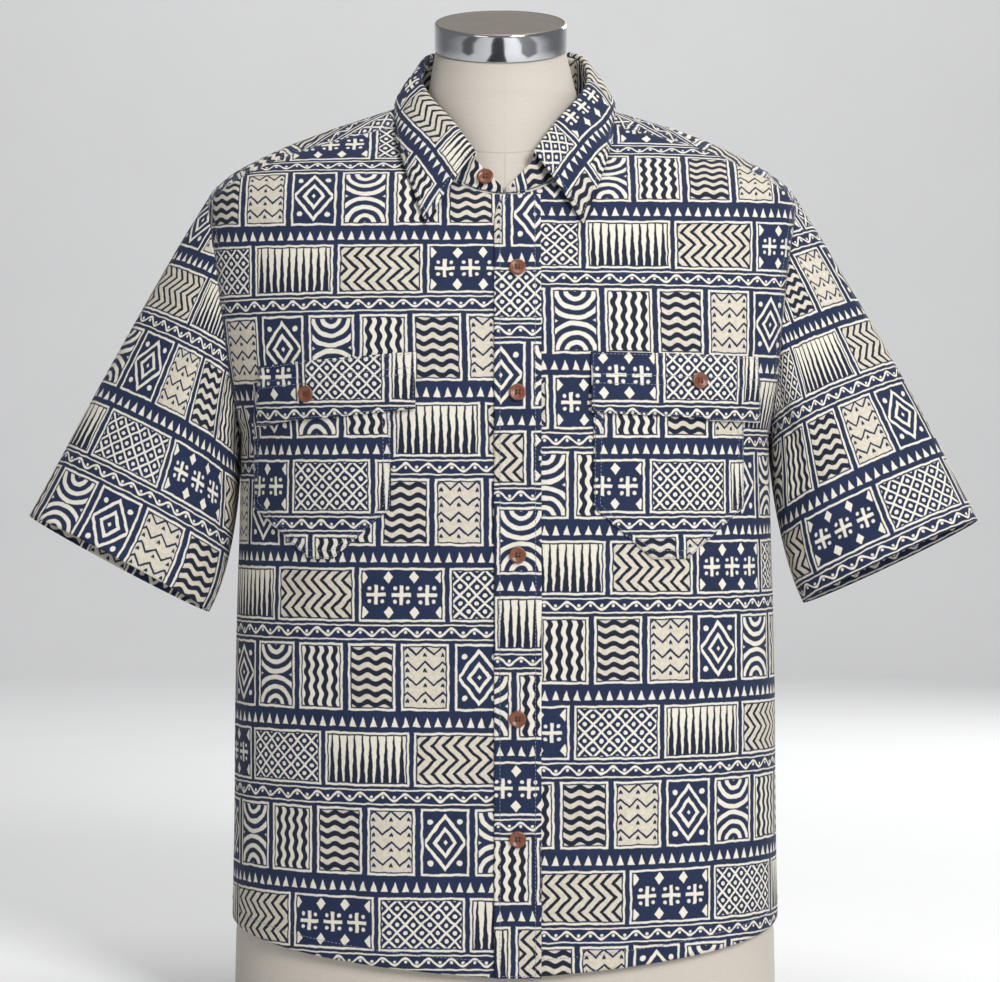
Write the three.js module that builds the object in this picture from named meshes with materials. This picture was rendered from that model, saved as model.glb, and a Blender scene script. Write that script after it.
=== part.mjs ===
// Short-sleeved hawaiian shirt on a limbless dress form.
// Millimetres. X runs to the right as seen from the front, Y to the back, Z up from the form's flat base.
// Each cloth piece is a closed wall: a grid of points on its inner face, and the same grid moved out.
import * as THREE from 'three';

// ---- Driving sizes ----
const CLOTH = 1.6;            // wall of one cloth piece
const SEAM_GAP = 0.36;        // clear gap between pieces that meet edge to edge
const LAY_GAP = 0.9;          // clear gap under a piece that lies on another
const SQUARENESS = 2.4;       // superellipse exponent of the body's sections
const SHOULDER_Z = 724;       // height of the shoulder point
const PLACKET_WIDTH = 40;
const PLACKET_X = 15;         // centre line of the placket
const BUTTON_RADIUS = 7.2;
const BUTTON_THICK = 2.6;

// Body sections of the cloth: half width, reach to front and back, depth place of the side, middle
const BODY = [
  { z: 0, half: 244, front: 150, back: 128, side: -12, centre: 4.5 },
  { z: 87, half: 242, front: 151, back: 126, side: -12, centre: 4.5 },
  { z: 182, half: 240, front: 151, back: 119, side: -15, centre: 4.5 },
  { z: 272, half: 239, front: 152, back: 109, side: -20, centre: 4.5 },
  { z: 362, half: 237, front: 155, back: 102, side: -22, centre: 4.5 },
  { z: 430, half: 235, front: 157, back: 103, side: -20, centre: 4.5 },
  { z: 506, half: 234, front: 157, back: 112, side: -14, centre: 4.5 },
  { z: 530, half: 241, front: 155, back: 117, side: -11, centre: 4 },
  { z: 560, half: 252, front: 151, back: 122, side: -7, centre: 3.5 },
  { z: 600, half: 261, front: 143, back: 127, side: -3, centre: 2.5 },
  { z: 640, half: 266, front: 131, back: 128, side: 0, centre: 2 },
  { z: 680, half: 267, front: 115, back: 123, side: 2, centre: 2 },
  { z: 716, half: 264.5, front: 99, back: 114, side: 4, centre: 2 },
  { z: 724, half: 262, front: 94, back: 112, side: 4, centre: 2 },
  { z: 742.6, half: 243, front: 77, back: 104, side: 4, centre: 2 },
  { z: 755, half: 222, front: 64, back: 97, side: 3, centre: 2 },
  { z: 771, half: 190, front: 47, back: 88, side: 2, centre: 2 },
  { z: 785, half: 153, front: 35, back: 80, side: 2, centre: 2 },
  { z: 793, half: 126, front: 29, back: 75, side: 1, centre: 2 },
  { z: 800, half: 103.5, front: 22, back: 71, side: 0, centre: 2 },
  { z: 806, half: 85, front: 15, back: 68, side: 0, centre: 2 },
  { z: 812, half: 75, front: 12, back: 66, side: 0, centre: 2 },
  { z: 818, half: 69, front: 10, back: 63, side: 0, centre: 2 },
  { z: 825, half: 62, front: 8, back: 59, side: 0, centre: 2 },
  { z: 834, half: 52, front: 6, back: 54, side: 0, centre: 2 },
];

// Largest folds of the body: a soft ridge or trough between two places (x, z) on the front or the back
const BODY_FOLDS = [
  { face: 'front', x1: -206, z1: 500, x2: -150, z2: 440, wide: 27, lift: -2.6 },
  { face: 'front', x1: 214, z1: 500, x2: 160, z2: 430, wide: 28, lift: -2.6 },
  { face: 'front', x1: -205, z1: 400, x2: -190, z2: 170, wide: 24, lift: -4 },
  { face: 'front', x1: 208, z1: 370, x2: 196, z2: 150, wide: 26, lift: -4 },
  { face: 'front', x1: -110, z1: 300, x2: -96, z2: 90, wide: 30, lift: 2.6 },
  { face: 'front', x1: 120, z1: 330, x2: 96, z2: 110, wide: 34, lift: 2.4 },
  { face: 'back', x1: -110, z1: 590, x2: -90, z2: 120, wide: 34, lift: 4.5 },
  { face: 'back', x1: 118, z1: 560, x2: 96, z2: 90, wide: 32, lift: 4 },
  { face: 'back', x1: 6, z1: 480, x2: -6, z2: 100, wide: 36, lift: -3.5 },
  { face: 'back', x1: -196, z1: 470, x2: -170, z2: 180, wide: 26, lift: -3.5 },
  { face: 'back', x1: 200, z1: 450, x2: 176, z2: 160, wide: 28, lift: -3.5 },
];

// Armhole: an oval on the body's surface
const ARMHOLE = { z: 616, rise: 108, swing: 0.4 };
const ARM_STEPS = 28;         // points round the armhole and each sleeve ring
const ARM_FRONT = 12;         // steps from the underarm to the yoke's front seam
const ARM_BACK = 11;          // steps from the underarm to the yoke's back seam

// Neck: front curve of the neckline and its back arc
const NECK_X = 4;
const NECK = { bottom: 716, drop: 75, half: 79, topHalf: 82, back: 60 };

// Hem of the body: height at the centre front, the centre back and the side seams
const HEM = { front: 47, back: 36, side: 87 };
const UNDERARM_Z = ARMHOLE.z - ARMHOLE.rise;

// Grid steps shared by pieces that meet
const SIDE_STEPS = 13;
const SEAM_STEPS = 7;
const NECK_FRONT_STEPS = 7;
const BACK_STEPS = 24;

const SLEEVES = {
  left: { side: -1, outer: [-416, 437], inner: [-259, 354] },
  right: { side: 1, outer: [422, 433], inner: [270, 362] },
};
const CUFF = { depth: 48, centreY: -38, tilt: 0.175, steps: 9 };
const SLEEVE_FOLDS = [
  { turn: 0.75, along1: 0.02, along2: 0.5, wide: 16, lift: -4 },
  { turn: 1.25, along1: 0.0, along2: 0.34, wide: 14, lift: 2.6 },
  { turn: 2.35, along1: 0.3, along2: 0.9, wide: 26, lift: -2.4 },
  { turn: -0.8, along1: 0.02, along2: 0.55, wide: 18, lift: -4 },
  { turn: -1.7, along1: 0.2, along2: 0.8, wide: 26, lift: 2.4 },
];

// Collar: top edge of the stand and outer edge of the leaf, from the front to the centre back.
// x is counted from the neck's middle.
const STAND_TOP = [
  { x: 1.5, y: -97, z: 723 },
  { x: 12, y: -93, z: 734 },
  { x: 25, y: -88, z: 748 },
  { x: 36, y: -74, z: 764 },
  { x: 47, y: -57, z: 781 },
  { x: 62, y: -36, z: 801 },
  { x: 70, y: -20, z: 815 },
  { x: 74, y: -3, z: 828 },
  { x: 72, y: 14, z: 841 },
  { x: 64, y: 36, z: 854 },
  { x: 38, y: 56, z: 861 },
  { x: 0, y: 63, z: 863 },
];
const LEAF_EDGE = [
  { x: 68, y: -113, z: 690 },
  { x: 77, y: -103, z: 714 },
  { x: 86, y: -83, z: 740 },
  { x: 91, y: -67, z: 756 },
  { x: 95, y: -49, z: 772 },
  { x: 98, y: -18, z: 801 },
  { x: 97, y: 0, z: 808 },
  { x: 86, y: 28, z: 813 },
  { x: 64, y: 58, z: 818 },
  { x: 36, y: 75, z: 821 },
  { x: 0, y: 81, z: 822 },
];
const LEAF_START = 0.13;      // where the leaf begins along the stand's top edge
const COLLAR_STEPS = 36;

// Chest pockets and flaps: edges by x, heights by z
const POCKETS = {
  left: { inner: -92, outer: -212, top: 554, corner: 446, bottom: 402, chamfer: 50 },
  right: { inner: 79, outer: 209, top: 554, corner: 446, bottom: 402, chamfer: 50 },
};
const FLAPS = {
  left: { inner: -71, outer: -207, innerTop: 578, outerTop: 568, innerDrop: 49, outerDrop: 51 },
  right: { inner: 77, outer: 222, innerTop: 578, outerTop: 576, innerDrop: 52, outerDrop: 56 },
};

const FRONT_BUTTONS = [
  { z: 650 },
  { z: 543 },
  { z: 406 },
  { z: 267 },
  { z: 165 },
];
const POCKET_BUTTONS = {
  left: { x: -163, z: 543 },
  right: { x: 168, z: 554 },
};

// Dress form: its own depth above the chest, and the neck
const FORM_INSET = 8;         // clear space between the form and the cloth over the body
const FORM_SIDE_INSET = 6;
const FORM_NECK = [
  { z: 690, half: 60, front: 86, back: 60 },
  { z: 716, half: 62, front: 84, back: 56 },
  { z: 750, half: 64, front: 77, back: 50 },
  { z: 781, half: 66, front: 69, back: 46 },
  { z: 806, half: 68, front: 62, back: 45 },
  { z: 826, half: 66, front: 59, back: 46 },
  { z: 842, half: 61, front: 57, back: 50 },
];
const CAP = { radius: 59.5, height: 25, tilt: 0.35, topY: -6, topZ: 881, rounding: 2.5 };
const FORM_STEPS = 40;

const COLOURS = { cloth: 0x3a4560, linen: 0xcdc5ba, steel: 0xb9bcbf, button: 0xa5643f };

// ---- Small helpers ----
const lerp = (a, b, k) => a + (b - a) * k;
const clamp = (v, lo, hi) => Math.min(hi, Math.max(lo, v));
const steps = (count) => Array.from({ length: count + 1 }, (_, i) => i / count);
const signedPower = (v, p) => Math.sign(v) * Math.abs(v) ** p;

// Smooth curve through two columns of a table, with no overshoot
function curve(rows, from, to) {
  const x = rows.map((row) => row[from]);
  const y = rows.map((row) => row[to]);
  const slope = x.slice(1).map((_, i) => (y[i + 1] - y[i]) / (x[i + 1] - x[i]));
  const tangent = x.map((_, i) => {
    if (i === 0) return slope[0];
    if (i === x.length - 1) return slope[i - 1];
    const both = slope[i - 1] * slope[i];
    return both <= 0 ? 0 : (2 * both) / (slope[i - 1] + slope[i]);
  });
  return (at) => {
    const v = clamp(at, x[0], x[x.length - 1]);
    let i = 0;
    while (i < x.length - 2 && v > x[i + 1]) i += 1;
    const h = x[i + 1] - x[i];
    const t = (v - x[i]) / h;
    const a = (1 + 2 * t) * (1 - t) ** 2;
    const b = t * (1 - t) ** 2;
    const c = t * t * (3 - 2 * t);
    const d = t * t * (t - 1);
    return a * y[i] + b * h * tangent[i] + c * y[i + 1] + d * h * tangent[i + 1];
  };
}

function bisect(inside, low, high) {
  let lo = low;
  let hi = high;
  for (let n = 0; n < 40; n += 1) {
    const mid = (lo + hi) / 2;
    if (inside(mid)) lo = mid;
    else hi = mid;
  }
  return (lo + hi) / 2;
}

// Point at a share of the length of a polyline
function along(points, share) {
  const lengths = [0];
  for (let i = 1; i < points.length; i += 1) {
    lengths.push(lengths[i - 1] + points[i].distanceTo(points[i - 1]));
  }
  const goal = clamp(share, 0, 1) * lengths[lengths.length - 1];
  let i = 1;
  while (i < points.length - 1 && lengths[i] < goal) i += 1;
  const t = (goal - lengths[i - 1]) / (lengths[i] - lengths[i - 1]);
  return points[i - 1].clone().lerp(points[i], t);
}

// Smooth 3D curve through table rows, mirrored to the side asked for
function spaceCurve(rows, side) {
  const points = rows.map((row) => new THREE.Vector3(NECK_X + side * row.x, row.y, row.z));
  return new THREE.CatmullRomCurve3(points, false, 'centripetal').getSpacedPoints(160);
}

// ---- The body's surface ----
const half = curve(BODY, 'z', 'half');
const front = curve(BODY, 'z', 'front');
const back = curve(BODY, 'z', 'back');
const sideY = curve(BODY, 'z', 'side');
const centre = curve(BODY, 'z', 'centre');
const spread = (z) => (z > SHOULDER_Z ? half(SHOULDER_Z) : half(z));

function depthShare(offset, z) {
  const q = Math.min(1, Math.abs(offset) / half(z));
  return (1 - q ** SQUARENESS) ** (1 / SQUARENESS);
}

// Depth of the cloth at x on the front (face 1) or the back (face -1)
function bodyY(x, z, face) {
  const reach = face > 0 ? front(z) + sideY(z) : sideY(z) - back(z);
  return sideY(z) - reach * depthShare(x - centre(z), z);
}

function foldLift(x, z, face) {
  let lift = 0;
  for (const fold of BODY_FOLDS) {
    if ((fold.face === 'front') === (face > 0)) {
      const dx = fold.x2 - fold.x1;
      const dz = fold.z2 - fold.z1;
      const t = clamp(((x - fold.x1) * dx + (z - fold.z1) * dz) / (dx * dx + dz * dz), 0, 1);
      const away = Math.hypot(x - fold.x1 - t * dx, z - fold.z1 - t * dz);
      lift += fold.lift * Math.exp(-((away / fold.wide) ** 2));
    }
  }
  return lift;
}

// A body point by turn (0 centre front, +-PI/2 sides, +-PI centre back) and height
function bodyPoint(turn, z) {
  const face = Math.cos(turn) >= 0 ? 1 : -1;
  const x = centre(z) + spread(z) * signedPower(Math.sin(turn), 2 / SQUARENESS);
  let y = bodyY(x, z, face);
  if (z <= SHOULDER_Z) {
    const reach = face > 0 ? front(z) + sideY(z) : sideY(z) - back(z);
    y = sideY(z) - reach * Math.abs(Math.cos(turn)) ** (2 / SQUARENESS);
  }
  y -= face * foldLift(x, z, face) * depthShare(x - centre(z), z);
  return new THREE.Vector3(x, y, z);
}

function turnAt(x, z, face) {
  const q = clamp((x - centre(z)) / spread(z), -1, 1);
  const turn = Math.asin(signedPower(q, SQUARENESS / 2));
  if (face > 0) return turn;
  return turn >= 0 ? Math.PI - turn : -Math.PI - turn;
}

// Height of the shoulder's surface over a place in plan
function shoulderZ(x, y) {
  const inside = (z) => {
    const reach = y < sideY(z) ? front(z) + sideY(z) : back(z) - sideY(z);
    const u = Math.abs(x - centre(z)) / half(z);
    const v = Math.abs(y - sideY(z)) / reach;
    return u ** SQUARENESS + v ** SQUARENESS < 1;
  };
  return bisect(inside, 640, 834);
}

const crestZ = (x) => bisect((z) => half(z) > Math.abs(x - centre(z)), SHOULDER_Z - 4, 830);

// ---- Edges of the body's pieces ----
const armTurn = (i) => (2 * Math.PI * i) / ARM_STEPS;

// Step i round the armhole from the underarm: positive to the front, negative to the back
function armhole(side, i) {
  const phi = armTurn(i);
  return {
    turn: side * (Math.PI / 2 - ARMHOLE.swing * Math.sin(phi)),
    z: ARMHOLE.z - ARMHOLE.rise * Math.cos(phi),
  };
}

function hemZ(turn) {
  const q = Math.abs(turn) / (Math.PI / 2);
  if (q <= 1) return lerp(HEM.front, HEM.side, q ** 1.1);
  return lerp(HEM.back, HEM.side, (2 - q) ** 1.25);
}

// The yoke's front seam, from the armhole to the neckline, as places on the front surface
function frontSeam(side) {
  const arm = armhole(side, ARM_FRONT);
  const start = bodyPoint(arm.turn, arm.z);
  const neckEnd = NECK_X + side * NECK.half;
  const startDrop = crestZ(start.x) - start.z;
  const endDrop = crestZ(neckEnd) - (NECK.bottom + NECK.drop);
  return steps(SEAM_STEPS).map((k) => {
    const x = lerp(start.x, neckEnd, k);
    const z = crestZ(x) - lerp(startDrop, endDrop, k);
    return { turn: turnAt(x, z, 1), z };
  });
}

// Front neckline as a quarter ellipse, by its angle from the centre front
function neckFrontAt(side, angle) {
  const x = NECK_X + side * NECK.half * Math.sin(angle);
  return { x, z: NECK.bottom + NECK.drop * (1 - Math.cos(angle)) };
}

// Front neckline from the yoke seam down to edgeX near the centre
function frontNeckline(side, edgeX) {
  const endAngle = Math.asin(clamp((side * (edgeX - NECK_X)) / NECK.half, -1, 1));
  return steps(NECK_FRONT_STEPS).map((k) => {
    const { x, z } = neckFrontAt(side, lerp(Math.PI / 2, endAngle, k));
    return { turn: turnAt(x, z, 1), z };
  });
}

// Back neckline from one side's yoke seam over the shoulder to the centre back, in plan
function backNeckPlan(side) {
  const seamZ = NECK.bottom + NECK.drop;
  const seamX = NECK_X + side * NECK.half;
  const seam = new THREE.Vector3(seamX, bodyY(seamX, seamZ, 1), seamZ);
  const points = [seam];
  for (const k of steps(6).slice(1)) {
    const x = NECK_X + side * lerp(NECK.half, NECK.topHalf, k);
    const y = lerp(seam.y, 0, k);
    points.push(new THREE.Vector3(x, y, shoulderZ(x, y)));
  }
  for (const k of steps(14).slice(1)) {
    const a = (k * Math.PI) / 2;
    const x = NECK_X + side * NECK.topHalf * Math.cos(a);
    const y = NECK.back * Math.sin(a);
    points.push(new THREE.Vector3(x, y, shoulderZ(x, y)));
  }
  return points;
}

// Whole half neckline from the centre front to the centre back
function necklinePoints(side) {
  const frontPart = steps(24).map((k) => {
    const { x, z } = neckFrontAt(side, (k * Math.PI) / 2);
    return new THREE.Vector3(x, bodyY(x, z, 1), z);
  });
  return frontPart.concat(backNeckPlan(side).slice(1));
}

// ---- Walls of cloth ----
// Bilinearly blended patch between four edges given as arrays of equal-keyed records
function patch(bottom, top, left, right) {
  const nu = bottom.length - 1;
  const nv = left.length - 1;
  const keys = Object.keys(bottom[0]);
  return left.map((_, j) => bottom.map((__, i) => {
    const u = i / nu;
    const v = j / nv;
    const out = {};
    for (const key of keys) {
      const ruled = lerp(bottom[i][key], top[i][key], v) + lerp(left[j][key], right[j][key], u);
      const low = lerp(bottom[0][key], bottom[nu][key], u);
      const high = lerp(top[0][key], top[nu][key], u);
      out[key] = ruled - lerp(low, high, v);
    }
    return out;
  }));
}

// Pull the free edges of an open grid in by a distance
function insetEdges(rows, distance) {
  const last = rows.length - 1;
  const end = rows[0].length - 1;
  const pull = (point, toward) => {
    const way = toward.clone().sub(point);
    point.addScaledVector(way.normalize(), distance);
  };
  for (const row of rows) {
    pull(row[0], row[1]);
    pull(row[end], row[end - 1]);
  }
  for (let i = 0; i <= end; i += 1) {
    pull(rows[0][i], rows[1][i]);
    pull(rows[last][i], rows[last - 1][i]);
  }
  return rows;
}

function gridNormals(rows, ring) {
  const last = rows.length - 1;
  const count = rows[0].length;
  return rows.map((row, j) => row.map((_, i) => {
    const before = ring ? row[(i + count - 1) % count] : row[Math.max(0, i - 1)];
    const after = ring ? row[(i + 1) % count] : row[Math.min(count - 1, i + 1)];
    const below = rows[Math.max(0, j - 1)][i];
    const above = rows[Math.min(last, j + 1)][i];
    const across = after.clone().sub(before);
    const up = above.clone().sub(below);
    return across.cross(up).normalize();
  }));
}

// Move every point of a grid out along its normal by lift(column share, row share)
function liftGrid(rows, outward, lift) {
  const normals = gridNormals(rows, false);
  return rows.map((row, j) => row.map((point, i) => {
    const amount = lift(i / (row.length - 1), j / (rows.length - 1));
    return point.clone().addScaledVector(normals[j][i], outward * amount);
  }));
}

// Closed wall: the grid is its inner face; outward is 1 or -1 for the side of across x up that faces out.
// Both faces are split along the shorter diagonal of each cell, so the wall keeps its thickness.
function clothWall(rows, outward, ring, thickness = CLOTH) {
  const nv = rows.length;
  const nu = rows[0].length;
  const normals = gridNormals(rows, ring);
  const inner = rows.flat();
  const outer = inner.map((p, k) => p.clone().addScaledVector(normals.flat()[k], outward * thickness));
  const positions = inner.concat(outer).flatMap((p) => [p.x, p.y, p.z]);
  const index = [];
  const shift = nu * nv;
  const quad = (a, b, c, d) => {
    if (outward > 0) index.push(a, b, c, a, c, d);
    else index.push(a, c, b, a, d, c);
  };
  const at = (i, j) => j * nu + (i % nu);
  const columns = ring ? nu : nu - 1;
  for (let j = 0; j < nv - 1; j += 1) {
    for (let i = 0; i < columns; i += 1) {
      const [a, b, c, d] = [at(i, j), at(i + 1, j), at(i + 1, j + 1), at(i, j + 1)];
      const turned = inner[b].distanceTo(inner[d]) < inner[a].distanceTo(inner[c]);
      const corners = turned ? [b, c, d, a] : [a, b, c, d];
      quad(...corners.map((k) => k + shift));
      quad(corners[0], corners[3], corners[2], corners[1]);
    }
  }
  const rim = (a, b) => quad(a, b, b + shift, a + shift);
  for (let i = 0; i < columns; i += 1) {
    rim(at(i, 0), at(i + 1, 0));
    rim(at(i + 1, nv - 1), at(i, nv - 1));
  }
  if (!ring) {
    for (let j = 0; j < nv - 1; j += 1) {
      rim(at(0, j + 1), at(0, j));
      rim(at(nu - 1, j), at(nu - 1, j + 1));
    }
  }
  const geometry = new THREE.BufferGeometry();
  geometry.setAttribute('position', new THREE.Float32BufferAttribute(positions, 3));
  geometry.setIndex(index);
  geometry.computeVertexNormals();
  return geometry;
}

// ---- Pieces of the body ----
const bodyGrid = (records) => records.map((row) => row.map((r) => bodyPoint(r.turn, r.z)));

function frontPanel(side, edgeX) {
  const neck = frontNeckline(side, edgeX);
  const seam = frontSeam(side);
  const top = neck.slice().reverse().concat(seam.slice(0, -1).reverse());
  const hemEdge = turnAt(edgeX, HEM.front, 1);
  const bottom = steps(top.length - 1).map((k) => {
    const turn = lerp(hemEdge, side * (Math.PI / 2), k);
    return { turn, z: hemZ(turn) };
  });
  const right = sideSeam(side).concat(steps(ARM_FRONT).slice(1).map((k) => armhole(side, k * ARM_FRONT)));
  const left = steps(right.length - 1).map((k) => {
    const z = lerp(bottom[0].z, top[0].z, k);
    return { turn: turnAt(edgeX, z, 1), z };
  });
  left[0] = bottom[0];
  left[left.length - 1] = top[0];
  const grid = bodyGrid(patch(bottom, top, left, right));
  return clothWall(insetEdges(grid, SEAM_GAP / 2), side, false);
}

function sideSeam(side) {
  return steps(SIDE_STEPS).map((k) => ({ turn: side * (Math.PI / 2), z: lerp(HEM.side, UNDERARM_Z, k) }));
}

// The back's turn is counted from the centre back so that it runs without a break
function fromBack(record) {
  const turn = record.turn > 0 ? Math.PI - record.turn : -Math.PI - record.turn;
  return { ...record, turn };
}

function backSeam() {
  const left = fromBack(armhole(-1, -ARM_BACK));
  const right = fromBack(armhole(1, -ARM_BACK));
  return steps(BACK_STEPS).map((k) => ({ turn: lerp(left.turn, right.turn, k), z: left.z }));
}

function backPanel() {
  const edge = (side) => sideSeam(side)
    .concat(steps(ARM_BACK).slice(1).map((k) => armhole(side, -k * ARM_BACK)))
    .map(fromBack);
  const bottom = steps(BACK_STEPS).map((k) => {
    const turn = lerp(-Math.PI / 2, Math.PI / 2, k);
    return { turn, z: hemZ(Math.PI - Math.abs(turn)) };
  });
  const grid = patch(bottom, backSeam(), edge(-1), edge(1))
    .map((row) => row.map((r) => {
      const turn = r.turn >= 0 ? Math.PI - r.turn : -Math.PI - r.turn;
      return bodyPoint(turn, r.z);
    }));
  return clothWall(insetEdges(grid, SEAM_GAP / 2), -1, false);
}

function yokePanel() {
  const plan = (p) => ({ x: p.x, y: p.y });
  const bottom = backSeam().map((r) => {
    const turn = r.turn >= 0 ? Math.PI - r.turn : -Math.PI - r.turn;
    return plan(bodyPoint(turn, r.z));
  });
  const seam = (side) => frontSeam(side).map((r) => plan(bodyPoint(r.turn, r.z)));
  const neckCount = BACK_STEPS - 2 * SEAM_STEPS;
  const neck = backNeckPlan(-1).concat(backNeckPlan(1).reverse().slice(1));
  const neckEdge = steps(neckCount).map((k) => plan(along(neck, k)));
  const top = seam(-1).concat(neckEdge.slice(1), seam(1).reverse().slice(1));
  const over = ARM_STEPS - ARM_FRONT - ARM_BACK;
  const edge = (side) => steps(over).map((k) => {
    const a = armhole(side, -ARM_BACK - k * over);
    return plan(bodyPoint(a.turn, a.z));
  });
  const grid = patch(bottom, top, edge(-1), edge(1))
    .map((row) => row.map((r) => new THREE.Vector3(r.x, r.y, shoulderZ(r.x, r.y))));
  return clothWall(insetEdges(grid, SEAM_GAP / 2), -1, false);
}

// ---- Sleeves ----
function sleeveRings(shape) {
  const { side, outer, inner } = shape;
  const cuffCentre = new THREE.Vector3((outer[0] + inner[0]) / 2, CUFF.centreY, (outer[1] + inner[1]) / 2);
  const toInner = new THREE.Vector3((inner[0] - outer[0]) / 2, 0, (inner[1] - outer[1]) / 2);
  const toBack = new THREE.Vector3(0, Math.cos(CUFF.tilt), -Math.sin(CUFF.tilt)).multiplyScalar(CUFF.depth);
  const axis = toInner.clone().cross(toBack).normalize();
  if (axis.z > 0) axis.negate();
  return steps(CUFF.steps).map((v) => Array.from({ length: ARM_STEPS }, (_, i) => {
    const phi = armTurn(i);
    const hole = armhole(side, i);
    const low = Math.max(0, Math.cos(phi)) ** 2;
    const start = bodyPoint(hole.turn, hole.z);
    start.x += side * (SEAM_GAP * 2 + 3.4 * low);
    start.z -= SEAM_GAP;
    const end = cuffCentre.clone()
      .addScaledVector(toInner, Math.cos(phi))
      .addScaledVector(toBack, -Math.sin(phi));
    const chord = end.clone().sub(start);
    const bulge = lerp(20, -25, (1 + Math.cos(phi)) / 2);
    const leave = chord.clone().add(new THREE.Vector3(side * bulge, -24 * Math.sin(phi), 0));
    const arrive = axis.clone().multiplyScalar(chord.length() * 0.92);
    const a = (1 + 2 * v) * (1 - v) ** 2;
    const b = v * (1 - v) ** 2;
    const c = v * v * (3 - 2 * v);
    const d = v * v * (v - 1);
    const point = start.multiplyScalar(a).addScaledVector(leave, b).addScaledVector(end, c)
      .addScaledVector(arrive, d);
    const middle = new THREE.Vector3(side * 247, 0, 616).lerp(cuffCentre, v);
    const out = point.clone().sub(middle).normalize();
    return point.addScaledVector(out, sleeveFold(phi, v));
  }));
}

function sleeveFold(phi, v) {
  let lift = 0;
  for (const fold of SLEEVE_FOLDS) {
    const turn = Math.atan2(Math.sin(phi - fold.turn), Math.cos(phi - fold.turn)) * 75;
    const t = clamp(v, fold.along1, fold.along2);
    const away = Math.hypot(turn, (v - t) * 260);
    lift += fold.lift * Math.exp(-((away / fold.wide) ** 2));
  }
  return lift * Math.sin(Math.PI * clamp(v * 4, 0, 0.5));
}

const sleeve = (shape) => clothWall(sleeveRings(shape), shape.side, true);

// ---- Collar ----
const STAND_CURVE = { left: spaceCurve(STAND_TOP, -1), right: spaceCurve(STAND_TOP, 1) };
const EDGE_CURVE = { left: spaceCurve(LEAF_EDGE, -1), right: spaceCurve(LEAF_EDGE, 1) };
const NECKLINE = { left: necklinePoints(-1), right: necklinePoints(1) };

// Frame at a station: -1 is the left front end, 0 the centre back, 1 the right front end
function collarFrame(station) {
  const name = station < 0 ? 'left' : 'right';
  const share = 1 - Math.abs(station);
  const base = along(NECKLINE[name], share);
  const top = along(STAND_CURVE[name], share);
  const rise = top.clone().sub(base).normalize();
  const axis = new THREE.Vector3(NECK_X, -8, base.z);
  const out = base.clone().sub(axis).setZ(0).normalize();
  out.addScaledVector(rise, -out.dot(rise)).normalize();
  return { base, top, rise, out };
}

function collarStand() {
  const columns = steps(COLLAR_STEPS).map((k) => {
    const { base, top, rise, out } = collarFrame(lerp(-1, 1, k));
    const foot = base.clone().addScaledVector(out, -CLOTH - 2.4).addScaledVector(rise, 0.9);
    return [foot, foot.clone().lerp(top, 0.5), top];
  });
  const rows = [0, 1, 2].map((j) => columns.map((column) => column[j].clone()));
  return clothWall(rows, -1, false);
}

function collarLeaf() {
  const reach = 1 - LEAF_START;
  const columns = steps(COLLAR_STEPS).map((k) => {
    const station = lerp(-reach, reach, k);
    const { top, rise, out } = collarFrame(station);
    const edgeShare = 1 - Math.abs(station) / reach;
    const edge = along(EDGE_CURVE[station < 0 ? 'left' : 'right'], edgeShare);
    const at = (outward, up) => top.clone().addScaledVector(out, outward).addScaledVector(rise, up);
    const seam = at(CLOTH, 0.6);
    const crest = at(3.6, 4.0);
    const turn = at(6.4, 1.5);
    const middle = turn.clone().lerp(edge, 0.5).addScaledVector(out, 2.5);
    const quarter = turn.clone().lerp(middle, 0.5).addScaledVector(out, 1);
    const low = middle.clone().lerp(edge, 0.5).addScaledVector(out, 0.8);
    return [seam, crest, turn, quarter, middle, low, edge];
  });
  const rows = columns[0].map((_, j) => columns.map((column) => column[j]));
  return clothWall(rows, 1, false);
}

// ---- Pieces that lie on the fronts ----
const onFront = (x, z) => bodyPoint(turnAt(x, z, 1), z);
const LAYER = CLOTH + LAY_GAP;

function placket() {
  const rowsUp = 26;
  const rows = steps(rowsUp).map((v) => [0, 1, 2, 3].map((i) => {
    const low = PLACKET_X - PLACKET_WIDTH / 2;
    const z0 = lerp(HEM.front, NECK.bottom - 0.4, v);
    const round = 8 * clamp((z0 - 690) / 26, 0, 1) ** 2;
    const x = lerp(low + (i === 0 ? round : 0), low + PLACKET_WIDTH, i / 3);
    return onFront(x, z0);
  }));
  return clothWall(liftGrid(rows, 1, () => LAYER), 1, false);
}

function pocket(shape) {
  const side = Math.sign(shape.outer);
  const across = 10;
  const rows = steps(9).map((v) => steps(across).map((u) => {
    const x = lerp(shape.inner, shape.outer, u);
    const edge = Math.min(Math.abs(x - shape.inner), Math.abs(x - shape.outer));
    const bottom = lerp(shape.corner, shape.bottom, clamp(edge / shape.chamfer, 0, 1));
    return onFront(x, lerp(bottom, shape.top, v));
  }));
  return clothWall(liftGrid(rows, side, () => LAYER), side, false);
}

function pocketFlap(shape) {
  const side = Math.sign(shape.outer);
  const rows = steps(4).map((v) => steps(11).map((u) => {
    const x = lerp(shape.inner, shape.outer, u);
    const top = lerp(shape.innerTop, shape.outerTop, u);
    const drop = lerp(shape.innerDrop, shape.outerDrop, u);
    return onFront(x, lerp(top - drop, top, v));
  }));
  const lift = (u, v) => LAYER * lerp(2.1, 1.15, clamp((v - 0.72) / 0.28, 0, 1));
  return clothWall(liftGrid(rows, side, lift), side, false);
}

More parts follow.
